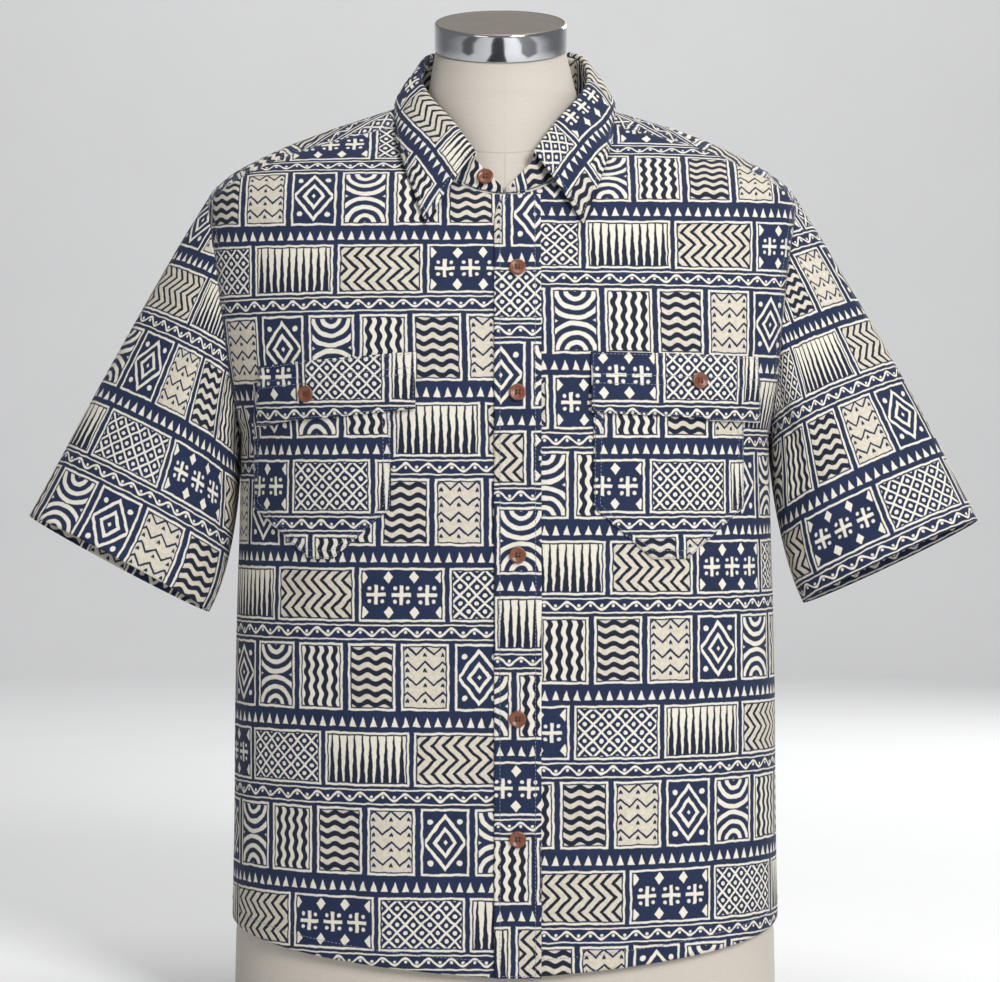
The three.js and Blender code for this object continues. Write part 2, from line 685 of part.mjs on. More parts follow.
// ---- Buttons ----
function buttonShape() {
  const disc = new THREE.Shape();
  disc.absarc(0, 0, BUTTON_RADIUS - 0.5, 0, 2 * Math.PI, false);
  for (const [x, y] of [[1.25, 1.25], [-1.25, 1.25], [-1.25, -1.25], [1.25, -1.25]]) {
    const hole = new THREE.Path();
    hole.absarc(x, y, 0.75, 0, 2 * Math.PI, true);
    disc.holes.push(hole);
  }
  return new THREE.ExtrudeGeometry(disc, {
    depth: BUTTON_THICK - 1,
    curveSegments: 3,
    bevelEnabled: true,
    bevelThickness: 0.5,
    bevelSize: 0.3,
    bevelOffset: 0.2,
    bevelSegments: 1,
  }).translate(0, 0, 0.5);
}

function placeButton(name, x, z, lift) {
  const point = onFront(x, z);
  const across = onFront(x + 6, z).sub(onFront(x - 6, z));
  const up = onFront(x, z + 6).sub(onFront(x, z - 6));
  const normal = across.cross(up).normalize();
  return buttonMesh(name, point.addScaledVector(normal, lift), normal);
}

function buttonMesh(name, point, normal) {
  const mesh = addMesh(name, buttonShape(), COLOURS.button, 0.5, 0);
  mesh.position.copy(point);
  mesh.quaternion.setFromUnitVectors(new THREE.Vector3(0, 0, 1), normal);
  return mesh;
}

// ---- Dress form ----
const formNeckHalf = curve(FORM_NECK, 'z', 'half');
const formNeckFront = curve(FORM_NECK, 'z', 'front');
const formNeckBack = curve(FORM_NECK, 'z', 'back');

const radial = (angle, a, b, n) => (
  (Math.abs(Math.cos(angle)) / a) ** n + (Math.abs(Math.sin(angle)) / b) ** n
) ** (-1 / n);

// One ring of the form: the larger of the torso's section and the neck's, run smoothly together
function formRing(z) {
  const neckTop = FORM_NECK[FORM_NECK.length - 1].z;
  const shoulder = clamp((z - 690) / 60, 0, 1);
  const inset = lerp(FORM_INSET, 13, shoulder);
  const sideInset = z < 76 ? 2.5 : lerp(FORM_SIDE_INSET, 25, shoulder);
  const y0 = sideY(z);
  const points = [];
  for (let i = 0; i < FORM_STEPS; i += 1) {
    const angle = (2 * Math.PI * i) / FORM_STEPS;
    const ahead = Math.sin(angle) < 0;
    const torsoReach = Math.max(4, (ahead ? front(z) + y0 : back(z) - y0) - inset);
    const torsoHalf = Math.max(4, half(z) - sideInset);
    let reach = radial(angle, torsoHalf, torsoReach, SQUARENESS);
    if (z > FORM_NECK[0].z) {
      const neckReach = ahead ? formNeckFront(z) + y0 : formNeckBack(z) - y0;
      const neck = radial(angle, formNeckHalf(z), neckReach, 2);
      const fade = clamp((802 - z) / 17, 0, 1);
      reach = ((reach * fade) ** 9 + neck ** 9) ** (1 / 9);
    }
    const x = centre(z) + reach * Math.cos(angle);
    points.push(new THREE.Vector3(x, y0 + reach * Math.sin(angle), z));
  }
  return z <= neckTop ? points : [];
}

const capNormal = new THREE.Vector3(0, -Math.sin(CAP.tilt), Math.cos(CAP.tilt));
const capTop = new THREE.Vector3(NECK_X - 3.5, CAP.topY, CAP.topZ);
const capBase = capTop.clone().addScaledVector(capNormal, -CAP.height);

function tiltedRing(middle, radius, tilt) {
  return Array.from({ length: FORM_STEPS }, (_, i) => {
    const angle = (2 * Math.PI * i) / FORM_STEPS;
    const forward = new THREE.Vector3(0, Math.cos(tilt), Math.sin(tilt));
    return middle.clone().addScaledVector(forward, radius * Math.sin(angle))
      .add(new THREE.Vector3(radius * Math.cos(angle), 0, 0));
  });
}

function loftSolid(rings) {
  const count = rings[0].length;
  const positions = rings.flat().flatMap((p) => [p.x, p.y, p.z]);
  const index = [];
  for (let j = 0; j < rings.length - 1; j += 1) {
    for (let i = 0; i < count; i += 1) {
      const a = j * count + i;
      const b = j * count + ((i + 1) % count);
      index.push(a, b, b + count, a, b + count, a + count);
    }
  }
  for (let i = 1; i < count - 1; i += 1) {
    const top = (rings.length - 1) * count;
    index.push(0, i + 1, i);
    index.push(top, top + i, top + i + 1);
  }
  const geometry = new THREE.BufferGeometry();
  geometry.setAttribute('position', new THREE.Float32BufferAttribute(positions, 3));
  geometry.setIndex(index);
  geometry.computeVertexNormals();
  return geometry;
}

function dressForm() {
  const heights = [0, 60, 74, 90, 150, 220, 300, 380, 450, 510, 560, 610, 655, 690, 712, 728, 742, 755, 768];
  const shoulders = [779, 788, 795, 801, 807, 815];
  const rings = heights.concat(shoulders).map(formRing);
  const neckEnd = capBase.clone().addScaledVector(capNormal, -0.5);
  const start = rings[rings.length - 1];
  const end = tiltedRing(neckEnd, CAP.radius - 1, CAP.tilt);
  for (const k of [0.34, 0.67, 1]) {
    rings.push(start.map((p, i) => p.clone().lerp(end[i], k)));
  }
  return loftSolid(rings);
}

function neckCap() {
  const profile = [
    [0, 0],
    [CAP.radius - 0.8, 0],
    [CAP.radius, 0.8],
    [CAP.radius, CAP.height - CAP.rounding],
    [CAP.radius - 0.7, CAP.height - 0.7],
    [CAP.radius - CAP.rounding, CAP.height],
    [0, CAP.height],
  ];
  const geometry = new THREE.LatheGeometry(profile.map(([r, h]) => new THREE.Vector2(r, h)), FORM_STEPS);
  return geometry.rotateX(Math.PI / 2 + CAP.tilt);
}

// ---- The group ----
const group = new THREE.Group();

function addMesh(name, geometry, color, roughness, metalness) {
  const material = new THREE.MeshStandardMaterial({ color, roughness, metalness });
  const mesh = new THREE.Mesh(geometry, material);
  mesh.name = name;
  group.add(mesh);
  return mesh;
}

const addCloth = (name, geometry) => addMesh(name, geometry, COLOURS.cloth, 0.85, 0);

addMesh('dress_form', dressForm(), COLOURS.linen, 0.9, 0);
addMesh('neck_cap', neckCap(), COLOURS.steel, 0.25, 1).position.copy(capBase);
addCloth('front_button_side', frontPanel(-1, PLACKET_X - 3));
addCloth('front_buttonhole_side', frontPanel(1, PLACKET_X - 1.5));
addCloth('back', backPanel());
addCloth('yoke', yokePanel());
addCloth('placket', placket());
addCloth('collar_stand', collarStand());
addCloth('collar_leaf', collarLeaf());
for (const [name, shape] of Object.entries(SLEEVES)) addCloth(`sleeve_${name}`, sleeve(shape));
for (const [name, shape] of Object.entries(POCKETS)) addCloth(`pocket_${name}`, pocket(shape));
for (const [name, shape] of Object.entries(FLAPS)) addCloth(`pocket_flap_${name}`, pocketFlap(shape));

FRONT_BUTTONS.forEach(({ z }, i) => {
  placeButton(`button_front_${i + 1}`, PLACKET_X, z, LAYER + CLOTH + 0.5);
});
for (const [name, { x, z }] of Object.entries(POCKET_BUTTONS)) {
  placeButton(`button_pocket_${name}`, x, z, 2.1 * LAYER + CLOTH + 0.9);
}
const collarSeat = collarFrame(-0.93);
const collarSpot = collarSeat.base.clone().lerp(collarSeat.top, 0.72);
buttonMesh('button_collar', collarSpot.addScaledVector(collarSeat.out, CLOTH + 1.2), collarSeat.out);

export default group;
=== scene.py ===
"""Short-sleeved hawaiian shirt on a limbless dress form: cloth, sewing, buttons, form and studio stage."""
import math
from functools import partialmethod

import bmesh
import bpy
import numpy as np
from mathutils import Matrix, Vector


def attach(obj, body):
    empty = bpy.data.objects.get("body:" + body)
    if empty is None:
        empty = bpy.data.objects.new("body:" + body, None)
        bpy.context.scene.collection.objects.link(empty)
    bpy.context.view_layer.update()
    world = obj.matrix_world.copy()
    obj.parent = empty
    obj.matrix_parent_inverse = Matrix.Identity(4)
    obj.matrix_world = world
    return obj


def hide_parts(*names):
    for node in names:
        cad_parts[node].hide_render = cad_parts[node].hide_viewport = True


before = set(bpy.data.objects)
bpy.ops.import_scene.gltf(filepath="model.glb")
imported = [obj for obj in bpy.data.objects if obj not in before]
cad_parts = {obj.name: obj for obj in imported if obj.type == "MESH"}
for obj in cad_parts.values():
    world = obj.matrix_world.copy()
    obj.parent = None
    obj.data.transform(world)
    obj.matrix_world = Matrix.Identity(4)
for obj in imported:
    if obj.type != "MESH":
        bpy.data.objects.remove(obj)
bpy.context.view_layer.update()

bl_info = {
    "name": "Hawaiian shirt on a dress form",
    "version": (1, 0, 0),
    "blender": (4, 5, 0),
    "location": "View3D > Sidebar > Shirt",
    "description": "Builds a printed short-sleeved shirt on a linen dress form",
    "category": "Object",
}

# ---- Driving sizes, in millimetres; MM turns them into metres ----
MM = 0.001
CLOTH = 1.6            # wall of a cloth piece in the frame
ON_TOP = 1.7           # how far a piece that lies on another stands out
SQUARENESS = 2.4       # power of the rounded box that the body's sections follow
SHOULDER_Z = 724
PLACKET_X, PLACKET_WIDTH = 15, 40
FRONT_EDGES = {-1: PLACKET_X - 3, 1: PLACKET_X - 1.5}   # where each front ends at the centre, by side
NECK_X = 4
ARMHOLE = {"z": 616, "rise": 108, "swing": 0.4}
NECK = {"bottom": 716, "drop": 75, "half": 79, "top_half": 82, "back": 60}
HEM = {"front": 47, "back": 36, "side": 87}
ARM_STEPS, ARM_FRONT, ARM_BACK = 28, 12, 11             # steps round the armhole: all, front's, back's
SIDE_STEPS = {"front": 130, "back": 120}                # rows of the grid up the side seam
YOKE_STEPS = {"seam": 50, "neck": 60}                   # columns of the grid along the yoke's front edge
CUFF = {"depth": 48, "centre_y": -38, "tilt": 0.175}
LEAF_START = 0.13

# Body sections of the cloth
BODY_COLUMNS = ("z", "half", "front", "back", "side", "centre")
BODY = np.array([
    (0, 244, 150, 128, -12, 4.5), (87, 242, 151, 126, -12, 4.5), (182, 240, 151, 119, -15, 4.5),
    (272, 239, 152, 109, -20, 4.5), (362, 237, 155, 102, -22, 4.5), (430, 235, 157, 103, -20, 4.5),
    (506, 234, 157, 112, -14, 4.5), (530, 241, 155, 117, -11, 4), (560, 252, 151, 122, -7, 3.5),
    (600, 261, 143, 127, -3, 2.5), (640, 266, 131, 128, 0, 2), (680, 267, 115, 123, 2, 2),
    (716, 264.5, 99, 114, 4, 2), (724, 262, 94, 112, 4, 2), (742.6, 243, 77, 104, 4, 2),
    (755, 222, 64, 97, 3, 2), (771, 190, 47, 88, 2, 2), (785, 153, 35, 80, 2, 2),
    (793, 126, 29, 75, 1, 2), (800, 103.5, 22, 71, 0, 2), (806, 85, 15, 68, 0, 2),
    (812, 75, 12, 66, 0, 2), (818, 69, 10, 63, 0, 2), (825, 62, 8, 59, 0, 2), (834, 52, 6, 54, 0, 2),
])

# Soft folds: face (1 front, -1 back), from (x, z) to (x, z), width and lift
FOLDS = [
    (1, -206, 500, -150, 440, 27, -2.6), (1, 214, 500, 160, 430, 28, -2.6),
    (1, -205, 400, -190, 170, 24, -4.0), (1, 208, 370, 196, 150, 26, -4.0),
    (1, -110, 300, -96, 90, 30, 2.6), (1, 120, 330, 96, 110, 34, 2.4),
    (-1, -110, 590, -90, 120, 34, 4.5), (-1, 118, 560, 96, 90, 32, 4.0),
    (-1, 6, 480, -6, 100, 36, -3.5), (-1, -196, 470, -170, 180, 26, -3.5),
    (-1, 200, 450, 176, 160, 28, -3.5),
]

# Creases, finer than the folds, uneven in length, depth and spacing
CREASES = [
    (1, -226, 520, -176, 585, 7, -2.6), (1, -222, 500, -168, 528, 6, -2.3),
    (1, -214, 470, -182, 380, 8, -2.4),
    (1, -196, 330, -150, 292, 7, -1.3), (1, -222, 300, -178, 268, 8, -1.5), (1, -170, 352, -96, 338, 6, -1.1),
    (1, -186, 250, -120, 236, 7, 1.1), (1, -210, 210, -176, 110, 9, -1.8), (1, -140, 210, -128, 96, 10, -1.5),
    (1, -64, 260, -58, 100, 11, 1.2), (1, -60, 420, -40, 330, 9, -1.0), (1, 40, 380, 62, 250, 10, -1.2),
    (1, 232, 528, 186, 590, 7, -2.6), (1, 228, 500, 176, 520, 6, -2.3), (1, 220, 460, 188, 372, 8, -2.4),
    (1, 206, 336, 150, 312, 7, -1.3), (1, 224, 290, 184, 262, 8, -1.5), (1, 100, 352, 176, 336, 6, -1.2),
    (1, 180, 240, 120, 222, 7, 1.1), (1, 214, 214, 186, 108, 9, -1.8), (1, 150, 200, 132, 92, 10, -1.4),
    (1, 80, 250, 66, 96, 11, 1.2), (1, -120, 690, -66, 640, 9, -1.0), (1, 128, 700, 74, 640, 9, -1.0),
    (1, -214, 700, -204, 620, 9, -1.4), (1, 220, 700, 208, 618, 9, -1.4), (1, -40, 160, -34, 70, 9, -1.0),
    (-1, -220, 520, -150, 600, 8, -2.0), (-1, -214, 490, -140, 540, 7, -1.6),
    (-1, 226, 520, 150, 596, 8, -2.0),
    (-1, 220, 492, 146, 540, 7, -1.6), (-1, -60, 560, -44, 260, 12, -1.6), (-1, 64, 540, 40, 230, 12, -1.6),
    (-1, -190, 340, -90, 318, 7, -1.5), (-1, 190, 336, 96, 300, 7, -1.5), (-1, -150, 280, -40, 262, 7, 1.3),
    (-1, 150, 262, 44, 240, 7, 1.3), (-1, -214, 240, -180, 110, 9, -1.8), (-1, 214, 236, 184, 108, 9, -1.8),
    (-1, -24, 240, -18, 60, 12, 1.3), (-1, 26, 660, 20, 520, 12, 1.2), (-1, -114, 650, -98, 580, 12, -1.2),
]

SLEEVES = {"left": (-1, (-416, 437), (-259, 354)), "right": (1, (422, 433), (270, 362))}
# Turn round the sleeve, span along it, width and lift
SLEEVE_FOLDS = [
    (0.75, 0.02, 0.5, 16, -4.0), (1.25, 0.0, 0.34, 14, 2.6), (2.35, 0.3, 0.9, 26, -2.4),
    (-0.8, 0.02, 0.55, 18, -4.0), (-1.7, 0.2, 0.8, 26, 2.4),
    (0.95, 0.05, 0.42, 6, -2.2), (1.55, 0.02, 0.3, 6, -1.8), (1.9, 0.1, 0.6, 8, -1.3),
    (2.7, 0.0, 0.45, 9, 1.2), (-1.0, 0.05, 0.4, 6, -2.0), (-1.4, 0.02, 0.34, 6, -1.6),
    (-2.3, 0.15, 0.7, 9, -1.4), (1.2, 0.55, 0.95, 9, 1.3),
    (0.5, 0.5, 0.9, 8, -1.4), (-0.5, 0.55, 0.92, 8, -1.3),
]

STAND_TOP = [
    (1.5, -97, 723), (12, -93, 734), (25, -88, 748), (36, -74, 764), (47, -57, 781), (62, -36, 801),
    (70, -20, 815), (74, -3, 828), (72, 14, 841), (64, 36, 854), (38, 56, 861), (0, 63, 863),
]
LEAF_EDGE = [
    (68, -113, 690), (77, -103, 714), (86, -83, 740), (91, -67, 756), (95, -49, 772), (98, -18, 801),
    (97, 0, 808), (86, 28, 813), (64, 58, 818), (36, 75, 821), (0, 81, 822),
]
POCKETS = {
    "left": {"inner": -92, "outer": -212, "top": 554, "corner": 446, "bottom": 402, "chamfer": 50},
    "right": {"inner": 79, "outer": 209, "top": 554, "corner": 446, "bottom": 402, "chamfer": 50},
}
# Where a flap begins and ends, and its height and drop at its inner and outer end
FLAPS = {
    "left": {"inner": -71, "outer": -207, "tops": (578, 568), "drops": (49, 51)},
    "right": {"inner": 77, "outer": 222, "tops": (578, 576), "drops": (52, 56)},
}

# Creases of the yoke in plan: from (x, y) to (x, y), width and lift
YOKE_CREASES = [
    (-236, -20, -120, 4, 9, -1.2), (-228, 40, -140, 58, 10, -1.1), (238, -16, 124, 6, 9, -1.2),
    (232, 44, 136, 60, 10, -1.1), (-60, 84, -20, 104, 9, -0.9), (70, 82, 30, 102, 9, -0.9),
    (-190, 10, -96, 30, 8, 0.9), (196, 12, 100, 34, 8, 0.9),
]

# How far inside an edge each row of stitches runs
SEWING = {
    "hem": 14, "armhole": (2.2, 8.6), "yoke": (1.8, 6.5), "placket": 5, "cuff": 20, "leaf": 5,
    "pocket": (1.6, 7.2), "flap": 1.8, "flap_top": {"left": (14, 20), "right": (20, 28)},
}

# ---- Stage, in metres ----
SENSOR = 36.0          # width of the camera's sensor in millimetres
FLOOR = {"half_width": 9.0, "near": -6.0, "bend": 4.6, "radius": 1.6, "top": 8.0}
GAP = 0.0005           # keeps the floor under what stands on it
SKY, SKY_STRENGTH = (238, 240, 244), 0.24
# Name, place, what it aims at, size and power in watts
LAMPS = (
    ("Key", (1.5, -2.9, 2.0), (0, 0, 0.5), (0.9, 1.5), 112.0),
    ("Fill", (-1.9, -3.1, 1.4), (0, 0, 0.5), (1.4, 2.2), 12.0),
    ("Top", (0.3, -0.2, 3.2), (0, 0, 0.5), (1.6, 1.6), 34.0),
    ("Rim", (1.6, 2.6, 2.2), (0, 0, 0.5), (1.2, 1.6), 44.0),
    ("Wall", (0.0, 2.9, 4.2), (0, 6.2, 1.0), (5.0, 0.8), 80.0),
)
# Name, left and right end, and colour
CARDS = (
    ("Card_dark", -0.46, 0.2, (0.02, 0.02, 0.025)),
    ("Card_grey", 1.1, 2.4, (0.2, 0.2, 0.2)),
    ("Card_shade", -2.8, -1.5, (0.16, 0.16, 0.16)),
)
CARD_NEAR, CARD_FAR, CARD_Z = -4.5, -0.7, 0.002


# ---- Small helpers ----
def lerp(a, b, k):
    return a + (b - a) * k


def shares(count):
    return np.linspace(0.0, 1.0, count + 1)


def signed_power(v, p):
    return np.sign(v) * np.abs(v) ** p


def unit(vectors):
    return vectors / np.linalg.norm(vectors, axis=-1, keepdims=True)


def arc_lengths(points):
    """Length along a line of points, 0 at its first."""
    return np.concatenate([[0], np.cumsum(np.linalg.norm(np.diff(points, axis=0), axis=-1))])


def read_off(goals, lengths, values):
    """The columns of values at some lengths along a line."""
    return np.stack([np.interp(goals, lengths, values[:, k]) for k in range(values.shape[1])], axis=-1)


def smooth_line(points, count):
    """Points of a smooth curve through all the given ones, count steps from each to the next."""
    ends = [2 * points[0] - points[1], *points, 2 * points[-1] - points[-2]]
    fine = []
    for a, b, c, d in zip(ends, ends[1:], ends[2:], ends[3:]):
        for t in shares(count)[:-1]:
            fine.append(0.5 * (2 * b + (c - a) * t + (2 * a - 5 * b + 4 * c - d) * t * t
                               + (3 * b - 3 * c + d - a) * t ** 3))
    return fine + [points[-1]]


def off_line(x, y, x1, y1, x2, y2):
    """Share of the way along a line between two places, and the distance from it."""
    dx, dy = x2 - x1, y2 - y1
    t = np.clip(((x - x1) * dx + (y - y1) * dy) / (dx * dx + dy * dy), 0, 1)
    return t, np.hypot(x - x1 - t * dx, y - y1 - t * dy)


def ridge(x, y, x1, y1, x2, y2, wide):
    """1 along a line between two places, falling away softly to both sides and at its ends."""
    return np.exp(-((off_line(x, y, x1, y1, x2, y2)[1] / wide) ** 2))


def column_curve(column):
    """A smooth curve through one column of the body's table, with no overshoot, as a function of height."""
    x, y = BODY[:, 0], BODY[:, BODY_COLUMNS.index(column)]
    step = np.diff(x)
    slope = np.diff(y) / step
    tangent = np.concatenate([slope[:1], np.zeros(len(slope) - 1), slope[-1:]])
    both = slope[:-1] * slope[1:]
    total = slope[:-1] + slope[1:]
    rising = both > 0
    tangent[1:-1][rising] = 2 * both[rising] / total[rising]

    def value(z):
        z = np.clip(z, x[0], x[-1])
        i = np.clip(np.searchsorted(x, z, side="right") - 1, 0, len(step) - 1)
        h = step[i]
        t = (z - x[i]) / h
        return ((1 + 2 * t) * (1 - t) ** 2 * y[i] + t * (1 - t) ** 2 * h * tangent[i]
                + t * t * (3 - 2 * t) * y[i + 1] + t * t * (t - 1) * h * tangent[i + 1])
    return value


half, front, back, side_y, centre = (column_curve(name) for name in BODY_COLUMNS[1:])
SHOULDER_HALF = float(half(SHOULDER_Z))


def spread(z):
    return np.where(z > SHOULDER_Z, SHOULDER_HALF, half(z))


def depth_share(x, z):
    q = np.minimum(1.0, np.abs(x - centre(z)) / half(z))
    return (1 - q ** SQUARENESS) ** (1 / SQUARENESS)


def body_reach(z, face):
    return np.where(face > 0, front(z) + side_y(z), side_y(z) - back(z))


def body_y(x, z, face):
    return side_y(z) - body_reach(z, face) * depth_share(x, z)


def fold_lift(x, z, face):
    """Folds and creases of the body, and the faint unevenness of worn cotton."""
    lift = 0.35 * np.sin(x / 31 + 1.7 * np.sin(z / 57)) * np.sin(z / 43 + face)
    for side, x1, z1, x2, z2, wide, height in FOLDS + CREASES:
        t, away = off_line(x, z, x1, z1, x2, z2)
        wander = wide * (1 + 0.25 * np.sin(9 * t + x1))
        lift = lift + np.where(face == side, height * np.exp(-((away / wander) ** 2)), 0.0)
    return lift


def body_points(turn, z):
    """Points of the body's cloth by turn, 0 at the centre front and half a circle at the centre back."""
    turn, z = np.broadcast_arrays(np.asarray(turn, float), np.asarray(z, float))
    face = np.where(np.cos(turn) >= 0, 1, -1)
    x = centre(z) + spread(z) * signed_power(np.sin(turn), 2 / SQUARENESS)
    round_y = side_y(z) - body_reach(z, face) * np.abs(np.cos(turn)) ** (2 / SQUARENESS)
    y = np.where(z <= SHOULDER_Z, round_y, body_y(x, z, face))
    y = y - face * fold_lift(x, z, face) * depth_share(x, z)
    return np.stack([x, y, z], axis=-1)


def turn_at(x, z, face=1):
    q = np.clip((x - centre(z)) / spread(z), -1, 1)
    turn = np.arcsin(signed_power(q, SQUARENESS / 2))
    return turn if face > 0 else np.where(turn >= 0, math.pi - turn, -math.pi - turn)


def on_front(x, z):
    return body_points(turn_at(np.asarray(x, float), np.asarray(z, float)), z)


def bisect(inside, low, high, shape=()):
    low, high = np.full(shape, float(low)), np.full(shape, float(high))
    for _ in range(40):
        middle = (low + high) / 2
        keep = inside(middle)
        low, high = np.where(keep, middle, low), np.where(keep, high, middle)
    return (low + high) / 2


def shoulder_z(x, y):
    x, y = np.broadcast_arrays(np.asarray(x, float), np.asarray(y, float))

    def inside(z):
        reach = np.where(y < side_y(z), front(z) + side_y(z), back(z) - side_y(z))
        u = np.abs(x - centre(z)) / half(z)
        v = np.abs(y - side_y(z)) / reach
        return u ** SQUARENESS + v ** SQUARENESS < 1
    return bisect(inside, 640, 834, x.shape)


def crest_z(x):
    x = np.asarray(x, float)
    return bisect(lambda z: half(z) > np.abs(x - centre(z)), SHOULDER_Z - 4, 830, x.shape)


def along(points, count):
    """Points along a polyline, by length: a number of even steps, or a list of shares of the way."""
    points = np.asarray(points, float)
    lengths = arc_lengths(points)
    goals = np.asarray(count, float) * lengths[-1] if np.ndim(count) else shares(count) * lengths[-1]
    return read_off(goals, lengths, points)


def smooth_curve(rows, side):
    """A fine polyline through table rows, mirrored to one side of the neck."""
    points = [Vector((NECK_X + side * x, y, z)) for x, y, z in rows]
    return np.array([tuple(p) for p in smooth_line(points, 10)])


# ---- Edges of the body's pieces, as (turn, height) ----
def armhole(side, step):
    phi = 2 * math.pi * np.asarray(step, float) / ARM_STEPS
    turn = side * (math.pi / 2 - ARMHOLE["swing"] * np.sin(phi))
    return np.stack([turn, ARMHOLE["z"] - ARMHOLE["rise"] * np.cos(phi)], axis=-1)


def hem_z(turn):
    q = np.abs(turn) / (math.pi / 2)
    ahead = lerp(HEM["front"], HEM["side"], np.minimum(q, 1) ** 1.1)
    behind = lerp(HEM["back"], HEM["side"], np.clip(2 - q, 0, 1) ** 1.25)
    return np.where(q <= 1, ahead, behind)


def side_seam(side, count):
    z = lerp(HEM["side"], ARMHOLE["z"] - ARMHOLE["rise"], shares(count))
    return np.stack([np.full_like(z, side * math.pi / 2), z], axis=-1)


def front_seam(side, count):
    arm = body_points(*armhole(side, ARM_FRONT))
    neck_end = NECK_X + side * NECK["half"]
    start_drop = crest_z(arm[0]) - arm[2]
    end_drop = crest_z(neck_end) - NECK["bottom"] - NECK["drop"]
    k = shares(count)
    x = lerp(arm[0], neck_end, k)
    z = crest_z(x) - lerp(start_drop, end_drop, k)
    return np.stack([turn_at(x, z), z], axis=-1)


def front_neckline(side, edge_x, count):
    end = math.asin(max(-1, min(1, side * (edge_x - NECK_X) / NECK["half"])))
    angle = lerp(math.pi / 2, end, shares(count))
    x = NECK_X + side * NECK["half"] * np.sin(angle)
    z = NECK["bottom"] + NECK["drop"] * (1 - np.cos(angle))
    return np.stack([turn_at(x, z), z], axis=-1)


def back_neck(side):
    """Back neckline in plan, from the yoke's front seam over the shoulder to the centre back."""
    seam_z = NECK["bottom"] + NECK["drop"]
    seam_x = NECK_X + side * NECK["half"]
    seam_y = float(body_y(seam_x, seam_z, 1))
    k = shares(6)[:-1]
    over = np.stack([NECK_X + side * lerp(NECK["half"], NECK["top_half"], k), lerp(seam_y, 0, k)], axis=-1)
    a = shares(20) * math.pi / 2
    behind = np.stack([NECK_X + side * NECK["top_half"] * np.cos(a), NECK["back"] * np.sin(a)], axis=-1)
    return np.concatenate([over, behind])


def neckline(side):
    ahead = body_points(*front_neckline(side, NECK_X, 24).T)[::-1]
    plan = back_neck(side)[1:]
    behind = np.column_stack([plan, shoulder_z(plan[:, 0], plan[:, 1])])
    return np.concatenate([ahead, behind])


def patch(bottom, top, left, right):
    """Bilinearly blended grid between four edges."""
    u = shares(len(bottom) - 1)[None, :, None]
    v = shares(len(left) - 1)[:, None, None]
    ruled = lerp(bottom[None], top[None], v) + lerp(left[:, None], right[:, None], u)
    low = lerp(bottom[0], bottom[-1], u)
    high = lerp(top[0], top[-1], u)
    return ruled - lerp(low, high, v)


def grid_normals(points, ring=False):
    if ring:
        across = np.roll(points, -1, axis=1) - np.roll(points, 1, axis=1)
    else:
        across = np.gradient(points, axis=1)
    return unit(np.cross(across, np.gradient(points, axis=0)))


def lifted(points, outward, lift):
    return points + grid_normals(points) * outward * np.asarray(lift)[..., None]


# ---- Where the print lies on each piece, in millimetres of flat cloth ----
def girth_from_middle(x, z, face):
    """Length of cloth from the centre line to x, round the body's section at height z."""
    low = np.minimum(z, 690)
    turn = np.arcsin(signed_power(np.clip((x - centre(low)) / half(low), -1, 1), SQUARENESS / 2))
    k = shares(36)[:, None, None]
    swing = turn[None] * k
    px = half(low) * signed_power(np.sin(swing), 2 / SQUARENESS)
    py = body_reach(low, face) * np.abs(np.cos(swing)) ** (2 / SQUARENESS)
    return np.sign(turn) * np.hypot(np.diff(px, axis=0), np.diff(py, axis=0)).sum(axis=0)


def height_of_cloth(x, z, face, start=620):
    k = shares(10)[:, None, None]
    up = start + (np.maximum(z, start) - start)[None] * k
    y = body_y(np.broadcast_to(x, up.shape), up, face)
    return np.minimum(z, start) + np.hypot(np.diff(up, axis=0), np.diff(y, axis=0)).sum(axis=0)


def body_flat(points, face):
    x, z = points[..., 0], points[..., 2]
    return np.stack([girth_from_middle(x, z, face), height_of_cloth(x, z, face)], axis=-1)


def grid_flat(points):
    """Flat places of a grid: length along its middle row, and length up each column."""
    u = arc_lengths(points[len(points) // 2])
    rise = np.linalg.norm(np.diff(points, axis=0), axis=-1)
    v = np.concatenate([np.zeros((1, points.shape[1])), np.cumsum(rise, axis=0)])
    return np.stack([np.broadcast_to(u, v.shape), v], axis=-1)


# ---- The pieces as grids of points on the inside of the cloth ----
def front_grid(side):
    edge_x = FRONT_EDGES[side]
    neck = front_neckline(side, edge_x, 36)
    seam = front_seam(side, 54)
    top = np.concatenate([neck[::-1], seam[:-1][::-1]])
    turn = lerp(float(turn_at(edge_x, HEM["front"])), side * math.pi / 2, shares(len(top) - 1))
    bottom = np.stack([turn, hem_z(turn)], axis=-1)
    right = np.concatenate([side_seam(side, SIDE_STEPS["front"]), armhole(side, shares(90)[1:] * ARM_FRONT)])
    z = lerp(bottom[0, 1], top[0, 1], shares(len(right) - 1))
    left = np.stack([turn_at(edge_x, z), z], axis=-1)
    left[0], left[-1] = bottom[0], top[0]
    records = patch(bottom, top, left, right)
    return body_points(records[..., 0], records[..., 1])


def from_back(records):
    """Turn counted from the centre back instead of the centre front, and the other way round."""
    turn = records[..., 0]
    flipped = np.where(turn >= 0, math.pi - turn, -math.pi - turn)
    return np.stack([flipped, records[..., 1]], axis=-1)


def back_seam(count):
    left, right = from_back(armhole(-1, -ARM_BACK)), from_back(armhole(1, -ARM_BACK))
    return lerp(left[None], right[None], shares(count)[:, None])


